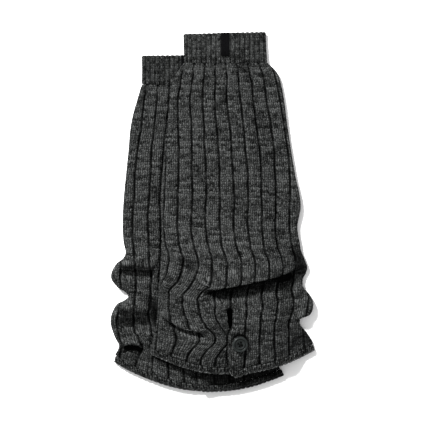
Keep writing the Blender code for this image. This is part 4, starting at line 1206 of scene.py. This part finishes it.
def marled_yarn(name, colours, stitch_bump):
    """Charcoal marl: dark and light plies in every stitch, paler and darker from course to course."""
    finish = Finish(name)
    math, plus, less, times = finish.math, finish.plus, finish.less, finish.times
    noise, combine, spread = finish.noise, finish.combine, finish.spread

    column, course, _ = finish.split(finish.node("ShaderNodeUVMap", uv_map="knitting").outputs[0])

    def drift(by_column, by_course, reach, start):
        """A shift that varies softly from stitch to stitch."""
        place = combine(plus(times(column, by_column), start), times(course, by_course))
        return times(less(noise(place, 1.0, 1.0), 0.5), reach)

    aside, down = drift(*DRIFT_ASIDE), drift(*DRIFT_DOWN)
    leg = math("ABSOLUTE", less(math("FRACT", plus(column, aside)), 0.5))
    slanted = plus(plus(course, down), times(leg, SLANT))
    row = math("FLOOR", slanted)
    along = math("SINE", times(math("FRACT", slanted), np.pi))
    off_leg = math("DIVIDE", less(leg, LEG_AT), LEG_AT)
    over_leg = less(1.0, times(off_leg, off_leg))
    stitch = times(over_leg, plus(LEG_FOOT, times(along, 1 - LEG_FOOT)))

    cell = combine(math("FLOOR", times(column, 2.0)), row)    # one for each leg of a stitch
    each = finish.node("ShaderNodeTexWhiteNoise", [("Vector", cell)]).outputs["Value"]
    rib = math("FLOOR", times(less(column, 0.5), 1 / (WALES + 1)))
    across_ribs = plus(times(column, STREAK_SCALE[0]), times(rib, RIB_SHIFT))
    streak = noise(combine(across_ribs, times(row, STREAK_SCALE[1])), 1.0)
    patch = noise(combine(times(column, PATCH_SCALE[0]), times(course, PATCH_SCALE[1])), 1.0)
    fibre = noise(finish.place(), FIBRE_SCALE, 3.0, 0.6)
    ply = noise(combine(times(column, PLY_SCALE[0]), times(slanted, PLY_SCALE[1])), 1.0, 2.0, 0.8)

    marl = times(spread(streak, *NOISE_CORE), STREAKS)
    marl = plus(marl, times(spread(ply, *PLY_CORE), PLIES))
    marl = plus(marl, times(spread(fibre, *NOISE_CORE), FIBRES))
    marl = plus(marl, times(each, STITCHES))
    marl = plus(marl, times(less(patch, PATCH_MIDDLE), PATCHES))
    marl = math("POWER", math("MAXIMUM", marl, 0.0), MARL_CONTRAST)
    tone = finish.mix(spread(marl, 0.0, 1.0), opaque(colours.dark_ply), opaque(colours.light_ply))

    # Painted shade between stitches, in what lies deep and in shadow, and painted light on the edging's
    # raised chain, all multiplied into the yarn's colour
    depth = finish.node("ShaderNodeAttribute", attribute_name="depth").outputs["Fac"]
    shade = times(spread(stitch, *STITCH_LIGHT), spread(depth, *DEPTH_LIGHT))
    shade = times(shade, spread(depth, *PROUD_LIGHT))
    colour = finish.mix(1.0, tone, combine(shade, shade, shade), "MULTIPLY")
    soft = finish.bump(fibre, FIBRE_BUMP, SOFTNESS)
    finish.set(Base_Color=colour, Roughness=0.95, Specular_IOR_Level=0.03,
               Normal=finish.bump(stitch, stitch_bump, Normal=soft))
    return finish.material


TAPE_WARP = 9000.0          # how close its ridges lie, both ways
TAPE_WEFT = 12000.0
TAPE_BUMP = 0.00008
TAPE_FLECKS = 1200.0        # noise cells to a metre
TAPE_PALE = 2.2             # how much paler a fleck is
SCUFFS = 2500.0             # the same for the button's scuffs and its cloud
SCUFF_BUMP = 0.00003
CLOUD = 160.0
CLOUD_CORE = (0.35, 0.7)
CLOUD_PALE = 1.9
WIDE_CORE = (0.3, 0.7)      # more of a noise's range, for softer edges
BUTTON_GLOSS = (0.28, 0.42)       # roughness, from polished to scuffed


def woven_tape(name, colour):
    """Bare tape or thread: a fine satin weave in one colour."""
    finish = Finish(name)
    place = finish.place()
    across_it, along_it, _ = finish.split(place)
    warp = finish.math("SINE", finish.times(across_it, TAPE_WARP))
    weft = finish.math("SINE", finish.times(along_it, TAPE_WEFT))
    fleck = finish.spread(finish.noise(place, TAPE_FLECKS), *WIDE_CORE)
    finish.set(Base_Color=finish.mix(fleck, opaque(colour), opaque(colour, TAPE_PALE)),
               Roughness=0.7, Specular_IOR_Level=0.01,
               Normal=finish.bump(finish.plus(warp, weft), TAPE_BUMP, SOFTNESS))
    return finish.material


def button_plastic(name, colours):
    """Dark polished plastic with a faint cloud and fine scuffs in it."""
    finish = Finish(name)
    place = finish.place()
    cloud = finish.spread(finish.noise(place, CLOUD, 3.0), *CLOUD_CORE)
    scuff = finish.noise(place, SCUFFS)
    plain, pale = opaque(colours.button), opaque(colours.button, CLOUD_PALE)
    finish.set(Base_Color=finish.mix(cloud, plain, pale), Specular_IOR_Level=0.14,
               Roughness=finish.spread(scuff, *WIDE_CORE, *BUTTON_GLOSS),
               Normal=finish.bump(scuff, SCUFF_BUMP, 0.4))
    return finish.material


# ---------------------------------------------------------------- settings

class LegWarmerKnit(bpy.types.PropertyGroup):
    """Sizes of the knitting."""

    course: FloatProperty(name="Course", description="Height of one course of stitches",
                          default=3.1 * MM, unit="LENGTH")
    rib_depth: FloatProperty(name="Rib depth", description="How deep the grooves between broad ribs are",
                             default=2.7 * MM, unit="LENGTH")
    rib_fullness: FloatProperty(name="Rib fullness", description="How square a broad rib's back is",
                                default=3.2, min=1.5, max=8.0)
    stitch_depth: FloatProperty(name="Stitch depth", description="Relief of each knitted stitch",
                                default=0.35 * MM, unit="LENGTH")
    stitch_bump: FloatProperty(name="Stitch bump", description="Relief of a stitch's legs in the finish",
                               default=0.9 * MM, unit="LENGTH")
    cuff_depth: FloatProperty(name="Cuff rib depth", description="How deep the cuffs' fine grooves are",
                              default=1.5 * MM, unit="LENGTH")
    loop_depth: FloatProperty(name="Loop depth", description="Relief of the loops along the hem",
                              default=0.9 * MM, unit="LENGTH")


class LegWarmerColours(bpy.types.PropertyGroup):
    """Colours of the yarn and the trims."""

    dark_ply: FloatVectorProperty(name="Dark ply", description="The yarn's darkest fibres",
                                  default=(0.0008, 0.0009, 0.0008), subtype="COLOR")
    light_ply: FloatVectorProperty(name="Light ply", description="The yarn's palest fibres",
                                   default=(0.0598, 0.0620, 0.0609), subtype="COLOR")
    label: FloatVectorProperty(name="Label", description="Tape of the label",
                               default=(0.0008, 0.0008, 0.0009), subtype="COLOR")
    button: FloatVectorProperty(name="Button", description="Plastic of the buttons",
                                default=(0.0072, 0.0086, 0.0083), subtype="COLOR")
    thread: FloatVectorProperty(name="Thread", description="Sewing thread of the buttons",
                                default=(0.0020, 0.0022, 0.0022), subtype="COLOR")


class LegWarmerStudio(bpy.types.PropertyGroup):
    """Camera, lights and floor."""

    field: FloatProperty(name="Field", description="Width of the floor that the camera takes in",
                         default=0.516, unit="LENGTH")
    distance: FloatProperty(name="Distance", description="Height of the camera above the floor",
                            default=3.0, unit="LENGTH")
    key: FloatProperty(name="Key light", description="Power of the soft light at the top left",
                       default=395.0, unit="POWER")
    dome: FloatProperty(name="Dome light", description="Strength of the light from all round",
                        default=0.85)
    floor: FloatVectorProperty(name="Floor", description="Colour of the floor",
                               default=(0.9, 0.9, 0.9), subtype="COLOR")


# ---------------------------------------------------------------- operators

YARN = "Marled yarn"


def yarn_material(context):
    """The yarn's finish, made once for every knitted piece."""
    made = bpy.data.materials.get(YARN)
    if made is None:
        scene = context.scene
        made = marled_yarn(YARN, scene.leg_warmer_colours, scene.leg_warmer_knit.stitch_bump)
    return made


class LEGWARMERS_OT_bodies(bpy.types.Operator):
    """Knit both bodies, with their folds, rolls and slits"""

    bl_idname = "legwarmers.bodies"
    bl_label = "Knit Bodies"

    def execute(self, context):
        knit = context.scene.leg_warmer_knit
        for warmer, below in zip(PAIR, ([], ["under_body_knit"])):
            piece = knit_body(warmer, knit, yarn_material(context))
            finish_piece(piece, "yarn", f"{warmer.name}_body")
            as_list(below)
        return {"FINISHED"}


class LEGWARMERS_OT_cuffs(bpy.types.Operator):
    """Knit both cuffs in fine rib"""

    bl_idname = "legwarmers.cuffs"
    bl_label = "Knit Cuffs"

    def execute(self, context):
        knit = context.scene.leg_warmer_knit
        for warmer, below in zip(PAIR, ([], ["under_cuff_knit"])):
            piece = knit_cuff(warmer, knit, yarn_material(context))
            finish_piece(piece, "yarn", f"{warmer.name}_cuff")
            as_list(below)
        return {"FINISHED"}


class LEGWARMERS_OT_hem_edgings(bpy.types.Operator):
    """Link the looped edgings on to both hems"""

    bl_idname = "legwarmers.hem_edgings"
    bl_label = "Link Hem Edgings"

    def execute(self, context):
        knit = context.scene.leg_warmer_knit
        for warmer in PAIR:
            piece = knit_edging(warmer, knit, yarn_material(context))
            finish_piece(piece, "yarn", f"{warmer.name}_hem_edging")
        return {"FINISHED"}


class LEGWARMERS_OT_labels(bpy.types.Operator):
    """Sew the bare tape labels over the cuffs' rims"""

    bl_idname = "legwarmers.labels"
    bl_label = "Sew Labels"

    def execute(self, context):
        material = woven_tape("Label tape", context.scene.leg_warmer_colours.label)
        for warmer in PAIR:
            piece = sew_label(warmer, material)
            finish_piece(piece, "label", f"{warmer.name}_label")
        return {"FINISHED"}


class LEGWARMERS_OT_buttons(bpy.types.Operator):
    """Turn the buttons and sew them on to the right flaps"""

    bl_idname = "legwarmers.buttons"
    bl_label = "Sew Buttons"

    def execute(self, context):
        colours = context.scene.leg_warmer_colours
        plastic = button_plastic("Button plastic", colours)
        thread = woven_tape("Sewing thread", colours.thread)
        for warmer in PAIR:
            turn_button(warmer, plastic, thread)
        return {"FINISHED"}


class LEGWARMERS_OT_studio(bpy.types.Operator):
    """Set up the floor, the lights and the camera straight above"""

    bl_idname = "legwarmers.studio"
    bl_label = "Set Up Studio"

    def execute(self, context):
        scene = context.scene
        studio = scene.leg_warmer_studio
        add_floor(studio)
        add_light("Key", KEY_PLACE, KEY_SIZE, studio.key)
        world = bpy.data.worlds.new("Studio dome")
        world.use_nodes = True
        dome = world.node_tree.nodes["Background"].inputs
        dome["Strength"].default_value = studio.dome
        dome["Color"].default_value = (1, 1, 1, 1)
        scene.world = world
        add_camera(scene, studio)
        scene.view_settings.view_transform = "Standard"
        return {"FINISHED"}


VIEW_MIDDLE = (2.0, -3.4)   # millimetres
VIEW_HEIGHT = 12.0          # of the cloth that the field is measured on
SENSOR = 36.0               # width of the camera's sensor, in millimetres
FLOOR_SIZE = 8.0            # metres
KEY_PLACE = (-1.6, 2.04, 2.3)     # metres, as is its width
KEY_SIZE = 0.6


def add_floor(studio):
    """A pale, faintly mottled floor."""
    finish = Finish("Floor")
    grain = finish.noise(finish.place(), 4.0)
    finish.set(Base_Color=finish.mix(grain, opaque(studio.floor), opaque(studio.floor, 0.98)),
               Roughness=0.9)
    half = FLOOR_SIZE / 2
    corners = [(-half, -half, 0), (half, -half, 0), (half, half, 0), (-half, half, 0)]
    mesh = bpy.data.meshes.new("floor")
    mesh.from_pydata(corners, [], [(0, 1, 2, 3)])
    mesh.materials.append(finish.material)
    place_object("floor", mesh)


def add_light(name, place, size, power):
    """A square soft box that faces the middle of the pair."""
    lamp = bpy.data.lights.new(name, "AREA")
    lamp.size = size
    lamp.energy = power
    box = bpy.data.objects.new(name, lamp)
    box.location = place
    box.rotation_euler = (-Vector(place)).to_track_quat("-Z", "Y").to_euler()
    bpy.context.scene.collection.objects.link(box)


def add_camera(scene, studio):
    """The camera, straight above the pair."""
    lens = bpy.data.cameras.new("Camera")
    lens.sensor_width = SENSOR
    lens.lens = SENSOR * (studio.distance - VIEW_HEIGHT * MM) / studio.field
    camera = bpy.data.objects.new("Camera", lens)
    camera.location = (VIEW_MIDDLE[0] * MM, VIEW_MIDDLE[1] * MM, studio.distance)
    scene.collection.objects.link(camera)
    scene.camera = camera


class LEGWARMERS_PT_panel(bpy.types.Panel):
    """Lists the settings and the steps in the sidebar"""

    bl_label = "Leg Warmers"
    bl_idname = "LEGWARMERS_PT_panel"
    bl_space_type = "VIEW_3D"
    bl_region_type = "UI"
    bl_category = "Leg Warmers"

    def draw(self, context):
        scene = context.scene
        for group in (scene.leg_warmer_knit, scene.leg_warmer_colours, scene.leg_warmer_studio):
            box = self.layout.box()
            for key in group.__annotations__:
                box.prop(group, key)
        for operator in OPERATORS:
            self.layout.operator(operator.bl_idname)


GROUPS = {
    "leg_warmer_knit": LegWarmerKnit,
    "leg_warmer_colours": LegWarmerColours,
    "leg_warmer_studio": LegWarmerStudio,
}
OPERATORS = (LEGWARMERS_OT_hem_edgings, LEGWARMERS_OT_buttons, LEGWARMERS_OT_bodies,
             LEGWARMERS_OT_cuffs, LEGWARMERS_OT_labels, LEGWARMERS_OT_studio)


def register():
    """Makes the settings, the operators and the panel known."""
    for group in GROUPS.values():
        bpy.utils.register_class(group)
    for key, group in GROUPS.items():
        setattr(bpy.types.Scene, key, PointerProperty(type=group))
    for operator in OPERATORS:
        bpy.utils.register_class(operator)
    bpy.utils.register_class(LEGWARMERS_PT_panel)


def unregister():
    """Takes them away again."""
    bpy.utils.unregister_class(LEGWARMERS_PT_panel)
    for operator in reversed(OPERATORS):
        bpy.utils.unregister_class(operator)
    for key, group in GROUPS.items():
        delattr(bpy.types.Scene, key)
        bpy.utils.unregister_class(group)


def main():
    """Makes all the pieces and the stage."""
    register()
    bpy.ops.legwarmers.hem_edgings()
    bpy.ops.legwarmers.buttons()
    bpy.ops.legwarmers.bodies()
    bpy.ops.legwarmers.cuffs()
    bpy.ops.legwarmers.labels()
    bpy.ops.legwarmers.studio()


if __name__ == "__main__":
    main()
